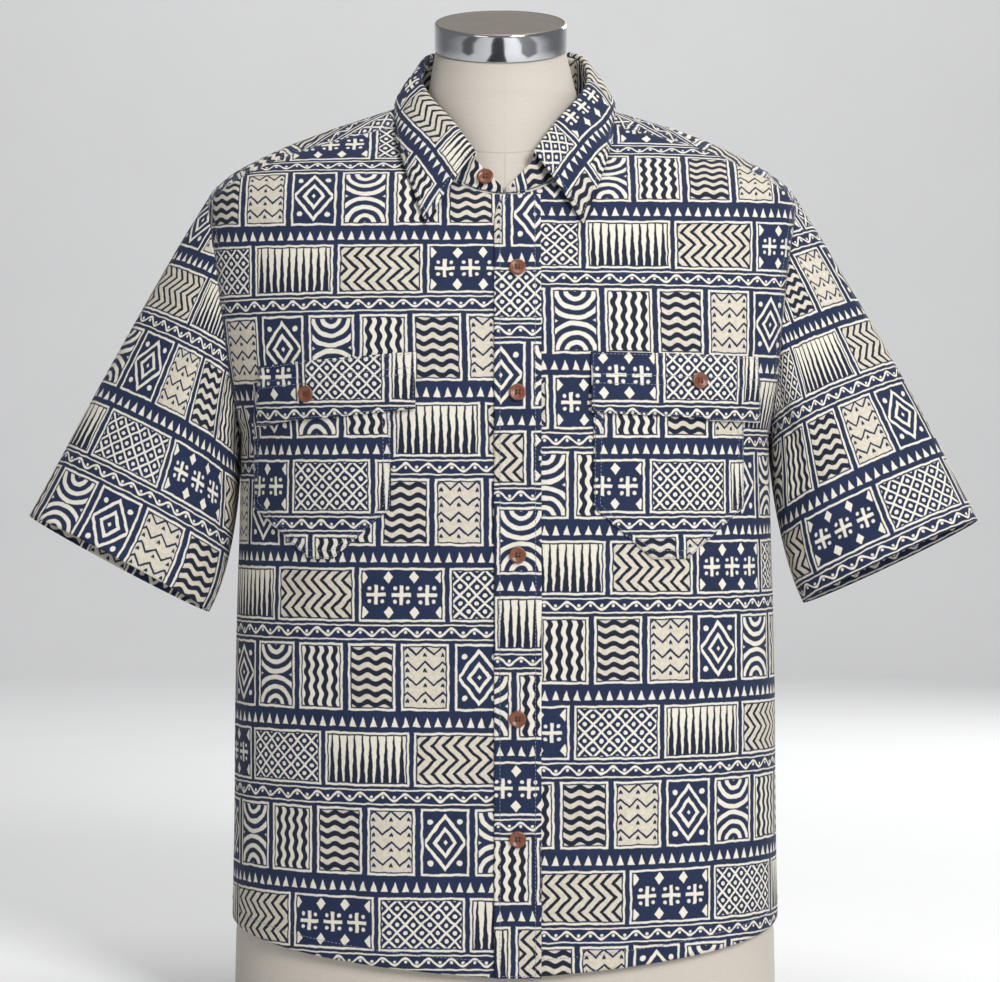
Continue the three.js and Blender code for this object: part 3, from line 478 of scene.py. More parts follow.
def back_grid():
    def edge(side):
        arm = armhole(side, -shares(80)[1:] * ARM_BACK)
        return from_back(np.concatenate([side_seam(side, SIDE_STEPS["back"]), arm]))
    turn = lerp(-math.pi / 2, math.pi / 2, shares(150))
    bottom = np.stack([turn, hem_z(math.pi - np.abs(turn))], axis=-1)
    records = from_back(patch(bottom, back_seam(150), edge(-1), edge(1)))
    return body_points(records[..., 0], records[..., 1])


def yoke_grid():
    def seam(side):
        return body_points(*front_seam(side, YOKE_STEPS["seam"]).T)[:, :2]

    def edge(side):
        steps = -ARM_BACK - shares(40) * (ARM_STEPS - ARM_FRONT - ARM_BACK)
        return body_points(*armhole(side, steps).T)[:, :2]
    bottom = body_points(*from_back(back_seam(2 * YOKE_STEPS["seam"] + YOKE_STEPS["neck"])).T)[:, :2]
    neck = along(np.concatenate([back_neck(-1), back_neck(1)[::-1][1:]]), YOKE_STEPS["neck"])
    top = np.concatenate([seam(-1), neck[1:], seam(1)[::-1][1:]])
    plan = patch(bottom, top, edge(-1), edge(1))
    points = np.concatenate([plan, shoulder_z(plan[..., 0], plan[..., 1])[..., None]], axis=-1)
    x, y = points[..., 0], points[..., 1]
    lift = 0.4 * np.sin(x / 23 + 1.3 * np.sin(y / 19))
    for x1, y1, x2, y2, wide, height in YOKE_CREASES:
        lift = lift + height * ridge(x, y, x1, y1, x2, y2, wide)
    held = np.sin(math.pi * shares(40))[:, None] ** 0.5
    return lifted(points, -1, lift * held)


def sleeve_lift(phi, v):
    lift = 0.4 * np.sin(3 * phi + 4 * v) * np.sin(7 * v)
    for turn, along1, along2, wide, height in SLEEVE_FOLDS:
        round_by = np.arctan2(np.sin(phi - turn), np.cos(phi - turn)) * 75
        away = np.hypot(round_by, (v - np.clip(v, along1, along2)) * 260)
        lift = lift + height * np.exp(-((away / wide) ** 2))
    return lift * np.sin(math.pi * np.clip(v * 6, 0, 0.5))


def sleeve_grid(shape, rounds=168, rows=96):
    side, outer, inner = shape
    cuff = np.array([(outer[0] + inner[0]) / 2, CUFF["centre_y"], (outer[1] + inner[1]) / 2])
    to_inner = np.array([(inner[0] - outer[0]) / 2, 0, (inner[1] - outer[1]) / 2])
    to_back = CUFF["depth"] * np.array([0, math.cos(CUFF["tilt"]), -math.sin(CUFF["tilt"])])
    axis = np.cross(to_inner, to_back)
    axis = axis / np.linalg.norm(axis) * -np.sign(axis[2])
    phi = 2 * math.pi * shares(rounds)
    start = body_points(*armhole(side, shares(rounds) * ARM_STEPS).T)
    start[:, 0] += side * (0.5 + 3.4 * np.maximum(0, np.cos(phi)) ** 2)
    cos, sin = np.cos(phi)[:, None], np.sin(phi)[:, None]
    end = cuff + to_inner * cos - to_back * sin
    chord = end - start
    leave = chord + np.concatenate([side * lerp(20, -25, (1 + cos) / 2), -24 * sin, 0 * sin], axis=-1)
    arrive = axis * np.linalg.norm(chord, axis=-1, keepdims=True) * 0.92
    v = shares(rows)[:, None, None]
    points = ((1 + 2 * v) * (1 - v) ** 2 * start + v * (1 - v) ** 2 * leave
              + v * v * (3 - 2 * v) * end + v * v * (v - 1) * arrive)
    out = unit(points - lerp(np.array([side * 247, 0, ARMHOLE["z"]]), cuff, v))
    return points + out * sleeve_lift(phi[None], v[..., 0])[..., None]


def sleeve_flat(points):
    """Round the sleeve from its outer side, and up from the cuff's hem."""
    round_by = np.linalg.norm(np.diff(points, axis=1), axis=-1)
    u = np.concatenate([np.zeros((len(points), 1)), np.cumsum(round_by, axis=1)], axis=1)
    rise = np.linalg.norm(np.diff(points[::-1], axis=0), axis=-1)
    v = np.concatenate([np.zeros((1, points.shape[1])), np.cumsum(rise, axis=0)])[::-1]
    return np.stack([u - u[:, points.shape[1] // 2][:, None], v], axis=-1)


def collar_frames(station):
    """Foot, top, rise and outward direction of the collar: -1 left front, 0 centre back, 1 right front."""
    share = 1 - np.abs(station)
    sides = (station >= 0)[:, None]
    base = np.where(sides, along(neckline(1), share), along(neckline(-1), share))
    top = np.where(sides, along(smooth_curve(STAND_TOP, 1), share), along(smooth_curve(STAND_TOP, -1), share))
    rise = unit(top - base)
    out = base - np.array([NECK_X, -8, 0])
    out[:, 2] = 0
    out = unit(out)
    out -= rise * (out * rise).sum(axis=-1, keepdims=True)
    return base, top, rise, unit(out)


def stand_grid():
    base, top, rise, out = collar_frames(lerp(-1, 1, shares(180)))
    foot = base - out * (CLOTH + 2.4) + rise * 0.9
    v = shares(12)[:, None, None]
    bulge = np.sin(math.pi * v) * 0.9
    return lerp(foot, top, v) + out * bulge


def leaf_grid():
    reach = 1 - LEAF_START
    station = lerp(-reach, reach, shares(240))
    top, rise, out = collar_frames(station)[1:]
    share = 1 - np.abs(station) / reach
    edges = along(smooth_curve(LEAF_EDGE, 1), share), along(smooth_curve(LEAF_EDGE, -1), share)
    edge = np.where((station >= 0)[:, None], *edges)
    turn = top + out * 6.4 + rise * 1.5
    middle = lerp(turn, edge, 0.5) + out * 2.5
    quarter = lerp(turn, middle, 0.5) + out
    low = lerp(middle, edge, 0.5) + out * 0.8
    start, over = top + out * CLOTH + rise * 0.6, top + out * 3.2 + rise * 3.6
    points = np.stack(smooth_line([start, over, turn, quarter, middle, low, edge], 5))
    down = shares(len(points) - 1)[:, None]
    wave = 0.7 * np.sin(station * 19 + 0.6) * down ** 2 + 0.5 * np.sin(station * 41) * np.sin(math.pi * down)
    return points + out * wave[..., None]


def placket_grid():
    low = PLACKET_X - PLACKET_WIDTH / 2
    z = lerp(HEM["front"], NECK["bottom"] - 0.4, shares(250))[:, None]
    corner = 8 * np.clip((z - 690) / 26, 0, 1) ** 2
    x = lerp(low + corner, low + PLACKET_WIDTH, shares(20)[None])
    points = on_front(x, np.broadcast_to(z, x.shape))
    waves = 0.3 * np.sin(z / 13 + 2 * np.sin(z / 37)) * np.sin(math.pi * shares(20))[None]
    return lifted(points, 1, ON_TOP + waves)


def pocket_grid(shape):
    u, v = shares(56)[None], shares(60)[:, None]
    x = lerp(shape["inner"], shape["outer"], u)
    edge = np.minimum(np.abs(x - shape["inner"]), np.abs(x - shape["outer"]))
    bottom = lerp(shape["corner"], shape["bottom"], np.clip(edge / shape["chamfer"], 0, 1))
    z = lerp(bottom, shape["top"], v)
    points = on_front(np.broadcast_to(x, z.shape), z)
    slack = 1.1 * np.sin(math.pi * u) * np.sin(math.pi * v) * (1 + 0.5 * np.sin(5 * u + 3 * v))
    for crease in ((0.16, 0.5, 0.42, 0.86), (0.9, 0.3, 0.6, 0.74)):
        slack = slack - 0.7 * ridge(u, v, *crease, 0.05)
    return lifted(points, np.sign(shape["outer"]), ON_TOP + slack)


def flap_grid(shape):
    u, v = shares(56)[None], shares(28)[:, None]
    x = lerp(shape["inner"], shape["outer"], u)
    top, drop = lerp(*shape["tops"], u), lerp(*shape["drops"], u)
    z = lerp(top - drop, top, v)
    points = on_front(np.broadcast_to(x, z.shape), z)
    up = np.clip((v - 0.5) / 0.42, 0, 1)
    lift = lerp(ON_TOP + 3, ON_TOP, up * up * (3 - 2 * up)) + 0.5 * np.sin(9 * u + 1) * (1 - v) ** 2
    return lifted(points, np.sign(shape["outer"]), lift)


# ---- Meshes ----
def grid_mesh(name, points, outward_to, flat, ring=False):
    """A sheet of quads from a grid of points, its faces turned outward, with its flat places as UVs."""
    rows, columns = points.shape[:2]
    bm = bmesh.new()
    uv = bm.loops.layers.uv.new("UVMap")
    bmesh.ops.create_grid(bm, x_segments=columns - 1, y_segments=rows - 1, size=1)
    spot = {}
    for vert in bm.verts:
        i = round((vert.co.x + 1) / 2 * (columns - 1))
        j = round((vert.co.y + 1) / 2 * (rows - 1))
        spot[vert] = (j, i)
        vert.co = points[j, i] * MM
    for face in bm.faces:
        for loop in face.loops:
            loop[uv].uv = flat[spot[loop.vert]] * MM
        face.smooth = True
    if ring:
        bmesh.ops.remove_doubles(bm, verts=bm.verts, dist=1e-6)
    bmesh.ops.recalc_face_normals(bm, faces=bm.faces)
    bm.faces.ensure_lookup_table()
    some = list(bm.faces)[::37]
    turned = [face.normal.dot(outward_to(face.calc_center_median())) > 0 for face in some]
    if 2 * sum(turned) < len(turned):
        bmesh.ops.reverse_faces(bm, faces=bm.faces)
    return finished(name, bm)


def finished(name, bm):
    mesh = bpy.data.meshes.new(name)
    bm.to_mesh(mesh)
    bm.free()
    obj = bpy.data.objects.new(name, mesh)
    bpy.context.collection.objects.link(obj)
    return obj


def thicken(obj, thickness):
    wall = obj.modifiers.new("Cloth", "SOLIDIFY")
    wall.thickness = thickness * MM
    wall.offset = 1
    return obj


def away_from(x, y, z=None):
    """Direction away from an upright line through (x, y), or from one place."""
    def outward(point):
        return Vector((point.x - x * MM, point.y - y * MM, 0 if z is None else point.z - z * MM))
    return outward


# ---- Shader helpers ----
class Maths:
    """Builds chains of maths nodes from plain expressions."""

    def __init__(self, tree):
        self.tree = tree

    def node(self, operation, *values):
        node = self.tree.nodes.new("ShaderNodeMath")
        node.operation = operation
        for socket, value in zip(node.inputs, values):
            if isinstance(value, (int, float)):
                socket.default_value = value
            else:
                self.tree.links.new(value, socket)
        return node.outputs[0]

    add, sub = partialmethod(node, "ADD"), partialmethod(node, "SUBTRACT")
    mul, div = partialmethod(node, "MULTIPLY"), partialmethod(node, "DIVIDE")
    low, high = partialmethod(node, "MINIMUM"), partialmethod(node, "MAXIMUM")
    floor, fract = partialmethod(node, "FLOOR"), partialmethod(node, "FRACT")
    sin, abs = partialmethod(node, "SINE"), partialmethod(node, "ABSOLUTE")
    mod = partialmethod(node, "FLOORED_MODULO")

    def length(self, a, b):
        return self.node("SQRT", self.add(self.mul(a, a), self.mul(b, b)))

    def chosen(self, kind, motifs):
        """The motif whose number is kind."""
        body = self.mul(self.equal(kind, 0.0), motifs[0])
        for number, motif in enumerate(motifs[1:], start=1):
            body = self.add(body, self.mul(self.equal(kind, float(number)), motif))
        return body

    def wave(self, a, period):
        """Distance to the nearest whole multiple of a period."""
        return self.abs(self.mul(self.sub(self.fract(self.add(self.div(a, period), 0.5)), 0.5), period))

    def inside(self, distance, edge, soft=0.35):
        """1 where distance is under edge, 0 past it, with a soft printed edge."""
        step = self.node("DIVIDE", self.sub(self.add(edge, soft), distance), 2 * soft)
        return self.low(self.high(step, 0.0), 1.0)

    def equal(self, a, b):
        return self.node("COMPARE", a, b, 0.4)


def group_tree(name, inputs, outputs):
    tree = bpy.data.node_groups.new(name, "ShaderNodeTree")
    for label, kind, default in inputs:
        socket = tree.interface.new_socket(name=label, in_out="INPUT", socket_type=kind)
        socket.default_value = default
    for label, kind in outputs:
        tree.interface.new_socket(name=label, in_out="OUTPUT", socket_type=kind)
    start = tree.nodes.new("NodeGroupInput")
    end = tree.nodes.new("NodeGroupOutput")
    return tree, start, end


def noise_value(tree, vector, scale, detail=3.0, rough=0.55):
    noise = tree.nodes.new("ShaderNodeTexNoise")
    noise.inputs["Scale"].default_value = scale
    noise.inputs["Detail"].default_value = detail
    noise.inputs["Roughness"].default_value = rough
    tree.links.new(vector, noise.inputs["Vector"])
    return noise.outputs["Fac"]


def mixed(tree, fac, a, b):
    """A colour between a and b; each is a socket or a plain colour."""
    node = tree.nodes.new("ShaderNodeMix")
    node.data_type = "RGBA"
    for socket, value in ((node.inputs[0], fac), (node.inputs[6], a), (node.inputs[7], b)):
        if isinstance(value, (tuple, list)):
            socket.default_value = value
        elif isinstance(value, float):
            socket.default_value = value
        else:
            tree.links.new(value, socket)
    return node.outputs[2]


def toned(colour, factor):
    """A colour made darker or paler; its alpha stays 1."""
    return (*(min(1.0, factor * part) for part in colour[:3]), 1.0)


def set_inputs(node, values):
    for name, value in values.items():
        node.inputs[name].default_value = value


def split(tree, vector):
    """The three parts of a vector socket."""
    parts = tree.nodes.new("ShaderNodeSeparateXYZ")
    tree.links.new(vector, parts.inputs[0])
    return parts.outputs


def cloth_places(tree):
    """Flat places on the cloth, in metres."""
    uv = tree.nodes.new("ShaderNodeUVMap")
    uv.uv_map = "UVMap"
    return uv.outputs[0]


def object_places(tree):
    return tree.nodes.new("ShaderNodeTexCoord").outputs["Object"]


def patchwork_group():
    """Printed patchwork of bands of small geometric cells, from flat places on the cloth in millimetres."""
    tree, start, end = group_tree(
        "Patchwork print", [("Across", "NodeSocketFloat", 0.0), ("Up", "NodeSocketFloat", 0.0)],
        [("Cream", "NodeSocketFloat"), ("Tan", "NodeSocketFloat"), ("Deep", "NodeSocketFloat")])
    m = Maths(tree)
    across, up = start.outputs["Across"], start.outputs["Up"]
    band_a, band_b, tape = 62.0, 50.0, 14.0
    repeat = band_a + band_b + 2 * tape
    turn = m.floor(m.div(up, repeat))
    v = m.sub(up, m.mul(turn, repeat))

    # Broad cells of the first band
    wide = 46.0
    shifted = m.add(across, m.mul(turn, 0.37 * wide))
    cell = m.floor(m.div(shifted, wide))
    x = m.sub(m.sub(shifted, m.mul(cell, wide)), wide / 2)
    y = m.sub(v, band_a / 2)
    kind = m.mod(m.add(m.mul(cell, 2.0), m.mul(turn, 3.0)), 5.0)
    frame_x, frame_y = m.sub(wide / 2, m.abs(x)), m.sub(band_a / 2, m.abs(y))
    edge = m.low(frame_x, frame_y)
    ribs = m.inside(m.wave(m.add(x, m.mul(1.1, m.sin(m.mul(y, 0.5)))), 8.6), 2.0)
    waves = m.inside(m.wave(m.add(y, m.mul(1.5, m.sin(m.mul(x, 0.42)))), 8.9), 2.1)
    bent = m.wave(m.add(y, m.mul(m.wave(x, 15.0), 0.9)), 13.0)
    seeds = m.inside(m.length(m.wave(x, 15.0), m.sub(6.5, bent)), 1.7)
    chevron = m.sub(1.0, m.high(m.inside(bent, 1.2), seeds))
    lozenge = m.add(m.abs(x), m.mul(m.abs(y), 0.78))
    corner = m.length(m.sub(m.abs(x), 12.5), m.sub(m.abs(y), 17.5))
    rings = m.mul(m.inside(m.wave(lozenge, 8.8), 1.7), m.inside(lozenge, 20.5))
    nested = m.high(rings, m.inside(corner, 2.4))
    fan = m.inside(m.wave(m.length(x, m.sub(m.abs(y), 27.0)), 8.2), 1.9)
    body = m.chosen(kind, (ribs, nested, waves, fan, chevron))
    field = m.inside(m.sub(0.0, edge), -5.6)
    border = m.inside(m.abs(m.sub(edge, 3.4)), 0.95)
    broad = m.high(m.mul(body, field), border)
    broad_tan = m.mul(m.high(m.equal(kind, 2.0), m.equal(kind, 4.0)), m.mul(body, field))

    # Long cells of the second band
    long = 78.0
    v2 = m.sub(v, band_a + tape)
    moved = m.add(across, m.add(m.mul(turn, 0.61 * long), 21.0))
    cell2 = m.floor(m.div(moved, long))
    x2 = m.sub(m.sub(moved, m.mul(cell2, long)), long / 2)
    y2 = m.sub(v2, band_b / 2)
    kind2 = m.mod(m.add(cell2, turn), 4.0)
    edge2 = m.low(m.sub(long / 2, m.abs(x2)), m.sub(band_b / 2, m.abs(y2)))
    comb = m.inside(m.wave(x2, 6.8), m.add(0.6, m.mul(0.052, m.add(y2, 22.0))))
    slant = m.sub(1.0, m.inside(m.wave(m.add(x2, m.wave(y2, 24.0)), 9.6), 1.9))
    lattice_a = m.wave(m.add(x2, y2), 14.0)
    lattice_b = m.wave(m.sub(x2, y2), 14.0)
    lattice = m.inside(m.low(lattice_a, lattice_b), 1.3)
    dots = m.inside(m.length(m.sub(7.0, lattice_a), m.sub(7.0, lattice_b)), 2.6)
    arm_x, arm_y = m.wave(x2, 22.0), m.abs(y2)
    cross = m.mul(m.inside(m.low(arm_x, arm_y), 1.5), m.inside(m.high(arm_x, arm_y), 8.4))
    seeds2 = m.inside(m.length(m.sub(arm_x, 5.6), m.sub(arm_y, 5.6)), 1.6)
    kites = m.inside(m.add(m.sub(11.0, arm_x), m.mul(m.abs(m.sub(arm_y, 15.0)), 0.8)), 4.2)
    crosses = m.high(m.high(cross, seeds2), kites)
    body2 = m.chosen(kind2, (comb, slant, crosses, m.high(lattice, dots)))
    field2 = m.inside(m.sub(0.0, edge2), -5.2)
    second = m.high(m.mul(body2, field2), m.inside(m.abs(m.sub(edge2, 3.0)), 0.9))
    second_tan = m.mul(m.equal(kind2, 1.0), m.mul(body2, field2))

    # Narrow tapes between the bands: a wavy line with dots, and a row of small triangles
    v3 = m.sub(v, band_a)
    y3 = m.sub(v3, tape / 2)
    line = m.inside(m.abs(m.sub(y3, m.mul(3.0, m.sin(m.mul(across, 0.32))))), 1.1)
    pips = m.inside(m.length(m.wave(m.add(across, 4.9), 9.82), y3), 1.25)
    rails = m.inside(m.abs(m.sub(m.abs(y3), 6.0)), 0.6)
    tape_one = m.high(m.high(line, pips), rails)
    v4 = m.sub(v, band_a + tape + band_b)
    tooth = m.inside(m.wave(across, 9.2), m.mul(m.sub(tape - 3.0, v4), 0.36))
    tape_two = m.mul(tooth, m.mul(m.inside(v4, tape - 3.0), m.inside(m.sub(0.0, v4), -2.6)))

    in_a, to_b, to_two = (m.inside(v, end, 0.05) for end in (band_a, band_a + tape, band_a + tape + band_b))
    in_one = m.mul(to_b, m.sub(1.0, in_a))
    in_b = m.mul(to_two, m.sub(1.0, to_b))
    in_two = m.sub(1.0, to_two)
    cream = m.add(m.add(m.mul(in_a, broad), m.mul(in_b, second)),
                  m.add(m.mul(in_one, tape_one), m.mul(in_two, tape_two)))
    tan = m.add(m.mul(in_a, broad_tan), m.mul(in_b, second_tan))
    tree.links.new(cream, end.inputs["Cream"])
    tree.links.new(tan, end.inputs["Tan"])
    close = m.mul(in_a, m.mul(m.high(m.equal(kind, 0.0), m.equal(kind, 2.0)), field))
    close2 = m.mul(in_b, m.mul(m.high(m.equal(kind2, 0.0), m.equal(kind2, 1.0)), field2))
    tree.links.new(m.high(close, close2), end.inputs["Deep"])
    return tree


def weave_group():
    """Height of a plain weave from flat places on the cloth and the number of threads to a metre."""
    tree, start, end = group_tree(
        "Plain weave",
        [("Place", "NodeSocketVector", (0.0, 0.0, 0.0)), ("Threads", "NodeSocketFloat", 2200.0)],
        [("Height", "NodeSocketFloat"), ("Slub", "NodeSocketFloat")])
    m = Maths(tree)
    parts = split(tree, start.outputs["Place"])
    threads = start.outputs["Threads"]
    warp, weft = (m.mul(m.mul(part, threads), math.pi) for part in parts[:2])
    over = m.mul(m.abs(m.sin(warp)), m.abs(m.sin(weft)))
    slub = noise_value(tree, start.outputs["Place"], 900.0, 2.0)
    tree.links.new(m.add(m.mul(over, 0.6), m.mul(slub, 0.5)), end.inputs["Height"])
    tree.links.new(slub, end.inputs["Slub"])
    return tree


def new_material(name):
    material = bpy.data.materials.new(name)
    material.use_nodes = True
    tree = material.node_tree
    shader = tree.nodes["Principled BSDF"]
    return material, tree, shader


def used_group(tree, group):
    node = tree.nodes.new("ShaderNodeGroup")
    node.node_tree = group
    return node


def bumped(tree, shader, height, strength, distance, under=None):
    """Relief on the shader's normal, over a broader one: under is its height, strength and distance."""
    normal = None
    for rise, amount, depth in ([under] if under else []) + [(height, strength, distance)]:
        bump = tree.nodes.new("ShaderNodeBump")
        set_inputs(bump, {"Strength": amount, "Distance": depth})
        tree.links.new(rise, bump.inputs["Height"])
        if normal is not None:
            tree.links.new(normal, bump.inputs["Normal"])
        normal = bump.outputs[0]
    tree.links.new(normal, shader.inputs["Normal"])


def rgb(red, green, blue):
    """A colour from its usual 0 to 255 values, as Blender's linear values."""
    values = []
    for part in (red, green, blue):
        part = part / 255
        values.append(part / 12.92 if part <= 0.04045 else ((part + 0.055) / 1.055) ** 2.4)
    return (*values, 1.0)


def printed_cotton(name, shift, groups, colours):
    """Cotton printed with the patchwork, shifted on each piece as cutting shifts it."""
    material, tree, shader = new_material(name)
    m = Maths(tree)
    place = cloth_places(tree)
    wobble = tree.nodes.new("ShaderNodeTexNoise")
    set_inputs(wobble, {"Scale": 110.0, "Detail": 3.0})
    tree.links.new(place, wobble.inputs["Vector"])
    parts, drift = split(tree, place), split(tree, wobble.outputs["Color"])
    pattern = used_group(tree, groups["print"])
    for k, way in enumerate(("Across", "Up")):
        moved = m.add(m.mul(m.sub(drift[k], 0.5), 2.6), shift[k])
        tree.links.new(m.add(m.mul(parts[k], 1 / MM), moved), pattern.inputs[way])
    weave = used_group(tree, groups["weave"])
    tree.links.new(place, weave.inputs["Place"])
    weave.inputs["Threads"].default_value = 1500.0
    mottle = noise_value(tree, place, 260.0, 4.0, 0.7)
    broad = noise_value(tree, place, 22.0, 2.0)
    shown = m.sub(1.0, m.mul(pattern.outputs["Deep"], 0.75))
    faded = m.mul(m.add(m.mul(mottle, 0.7), m.mul(broad, 0.6)), shown)
    ground = mixed(tree, m.low(faded, 1.0), colours["navy"], colours["washed_navy"])
    ink = mixed(tree, mottle, colours["tan"], colours["cream"])
    light = mixed(tree, pattern.outputs["Tan"], colours["cream"], ink)
    worn = m.mul(pattern.outputs["Cream"], m.add(0.86, m.mul(mottle, 0.2)))
    colour = mixed(tree, m.low(worn, 1.0), ground, light)
    threads = mixed(tree, m.mul(weave.outputs["Slub"], 0.28), colour, colours["navy"])
    tree.links.new(threads, shader.inputs["Base Color"])
    set_inputs(shader, {
        "Roughness": 0.82, "Sheen Weight": 0.05, "Sheen Roughness": 0.5, "Specular IOR Level": 0.3})
    rumple = noise_value(tree, place, 34.0, 2.0, 0.45)
    bumped(tree, shader, weave.outputs["Height"], 0.35, 0.0003, (rumple, 0.55, 0.004))
    return material


def cotton_thread(name, colour):
    material, tree, shader = new_material(name)
    place = object_places(tree)
    tone = noise_value(tree, place, 700.0, 2.0)
    tree.links.new(mixed(tree, tone, colour, toned(colour, 0.6)), shader.inputs["Base Color"])
    set_inputs(shader, {"Roughness": 0.6, "Sheen Weight": 0.25})
    bumped(tree, shader, noise_value(tree, place, 2600.0, 2.0), 0.4, 0.0002)
    return material


def linen_cover(name, colour, groups):
    """Plain linen with slubs, painted shade in the hollows of its weave, and the pressed seams down the
    middle and round the neck.
    """
    material, tree, shader = new_material(name)
    m = Maths(tree)
    place = cloth_places(tree)
    weave = used_group(tree, groups["weave"])
    tree.links.new(place, weave.inputs["Place"])
    weave.inputs["Threads"].default_value = 900.0
    x, y, z = split(tree, object_places(tree))
    height = m.sub(z, m.mul(m.add(y, 0.077), 0.3))
    neck_seam = 0.755
    below = m.inside(height, neck_seam, 0.001)
    middle = m.inside(m.abs(m.sub(x, NECK_X * MM)), 0.0003, 0.0006)
    middle = m.mul(middle, m.add(0.15, m.mul(below, 0.45)))
    round_neck = m.mul(m.inside(m.abs(m.sub(height, neck_seam)), 0.0003, 0.0006), 0.7)
    seam = m.high(middle, round_neck)
    slub = noise_value(tree, place, 420.0, 4.0, 0.7)
    dark = toned(colour, 0.72)
    base = mixed(tree, m.mul(slub, 0.75), colour, dark)
    # Painted shade: the linen is darker where the weave's height is low, in the hollows between the threads.
    threads = mixed(tree, m.mul(m.sub(1.0, weave.outputs["Height"]), 0.5), base, dark)
    tree.links.new(mixed(tree, m.mul(seam, 0.6), threads, toned(colour, 0.4)), shader.inputs["Base Color"])
    set_inputs(shader, {"Roughness": 0.9, "Sheen Weight": 0.12})
    bumped(tree, shader, m.sub(weave.outputs["Height"], m.mul(seam, 2.5)), 0.6, 0.0004)
    return material


def polished_steel(name, colour, roughness, turned=False):
    material, tree, shader = new_material(name)
    m = Maths(tree)
    place = object_places(tree)
    fine = noise_value(tree, place, 1400.0 if turned else 260.0, 3.0)
    wear = noise_value(tree, place, 60.0, 4.0, 0.65)
    tree.links.new(mixed(tree, m.mul(wear, 0.4), colour, toned(colour, 0.7)), shader.inputs["Base Color"])
    tree.links.new(m.add(roughness, m.mul(m.sub(wear, 0.5), 0.12)), shader.inputs["Roughness"])
    shader.inputs["Metallic"].default_value = 1.0
    bumped(tree, shader, fine, 0.12 if turned else 0.03, 0.0002)
    return material


def coconut_shell(name, colour):
    """Turned coconut shell with darker grain streaks and a soft polish."""
    material, tree, shader = new_material(name)
    m = Maths(tree)
    place = object_places(tree)
    grain = tree.nodes.new("ShaderNodeMapping")
    set_inputs(grain, {"Scale": (1.0, 1.0, 3.5), "Rotation": (0.0, 0.6, 0.0)})
    tree.links.new(place, grain.inputs["Vector"])
    streak = noise_value(tree, grain.outputs[0], 420.0, 5.0, 0.7)
    spots = noise_value(tree, place, 190.0, 3.0)
    tone = mixed(tree, m.low(m.mul(streak, 1.1), 1.0), toned(colour, 1.6), toned(colour, 0.42))
    tree.links.new(mixed(tree, m.mul(spots, 0.5), colour, tone), shader.inputs["Base Color"])
    set_inputs(shader, {"Roughness": 0.38, "Coat Weight": 0.3, "Coat Roughness": 0.2})
    bumped(tree, shader, streak, 0.15, 0.0002)
    return material


def matt_card(name, colour, shade):
    """Plain matt paper or card, in parts darker by the factor shade."""
    material, tree, shader = new_material(name)
    tone = noise_value(tree, object_places(tree), 3.0, 2.0)
    tree.links.new(mixed(tree, tone, colour, toned(colour, shade)), shader.inputs["Base Color"])
    shader.inputs["Roughness"].default_value = 0.9
    return material


# ---- Stitching ----
def inset_line(points, normals, edge, distance):
    """The line that runs one distance inside an edge of a piece, with the cloth's normals along it."""
    turned = {"left": (0, 1, 2), "right": (0, 1, 2), "bottom": (1, 0, 2), "top": (1, 0, 2)}[edge]
    p, n = points.transpose(turned), normals.transpose(turned)
    if edge in ("right", "top"):
        p, n = p[:, ::-1], n[:, ::-1]
    line, lean = [], []
    for row, facing in zip(p, n):
        lengths = arc_lengths(row)
        line.append(read_off(distance, lengths, row))
        lean.append(read_off(distance, lengths, facing))
    return np.array(line), np.array(lean)


def stitch_places(line, lean, pitch, trim):
    """Place, direction and facing of each stitch; trim is what stays free at both ends."""
    lengths = arc_lengths(line)
    low, high = trim
    room = lengths[-1] - low - high
    if room < pitch:
        return []
    goals = low + (np.arange(int(room / pitch)) + 0.5) * room / int(room / pitch)
    ways = read_off(goals + 0.6, lengths, line) - read_off(goals - 0.6, lengths, line)
    return list(zip(read_off(goals, lengths, line), ways, read_off(goals, lengths, lean)))


def sewn(name, places, stitch, material):
    """One mesh of single stitches, each a small rounded bead of thread lying in the cloth."""
    bm = bmesh.new()
    bmesh.ops.create_uvsphere(bm, u_segments=6, v_segments=4, radius=1.0)
    bm.verts.ensure_lookup_table()
    bead = np.array([vert.co[:] for vert in bm.verts])
    faces = [[vert.index for vert in face.verts] for face in bm.faces]
    bm.free()
    corners, polygons = [], []
    for number, (place, along_it, facing) in enumerate(places):
        way = along_it / np.linalg.norm(along_it)
        facing = facing / np.linalg.norm(facing)
        across = np.cross(way, facing)
        way = way + across * 0.08 * math.sin(number * 2.7)
        long = stitch["length"] * (1 + 0.07 * math.sin(number * 1.9)) / 2
        radius = stitch["radius"]
        points = (place + bead[:, 2:3] * way * long + bead[:, 0:1] * across * radius
                  + bead[:, 1:2] * facing * radius * 0.85)
        polygons.extend([[corner + number * len(bead) for corner in face] for face in faces])
        corners.append(points)
    mesh = bpy.data.meshes.new(name)
    mesh.from_pydata((np.concatenate(corners) * MM).tolist(), [], polygons)
    mesh.shade_smooth()
    mesh.materials.append(material)
    obj = bpy.data.objects.new(name, mesh)
    bpy.context.collection.objects.link(obj)
    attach(obj, "root")
    return obj


# ---- Dress form ----
def table_curve(rows, column):
    heights = [row[0] for row in rows]
    values = [row[column] for row in rows]
    return lambda z: np.interp(z, heights, values)


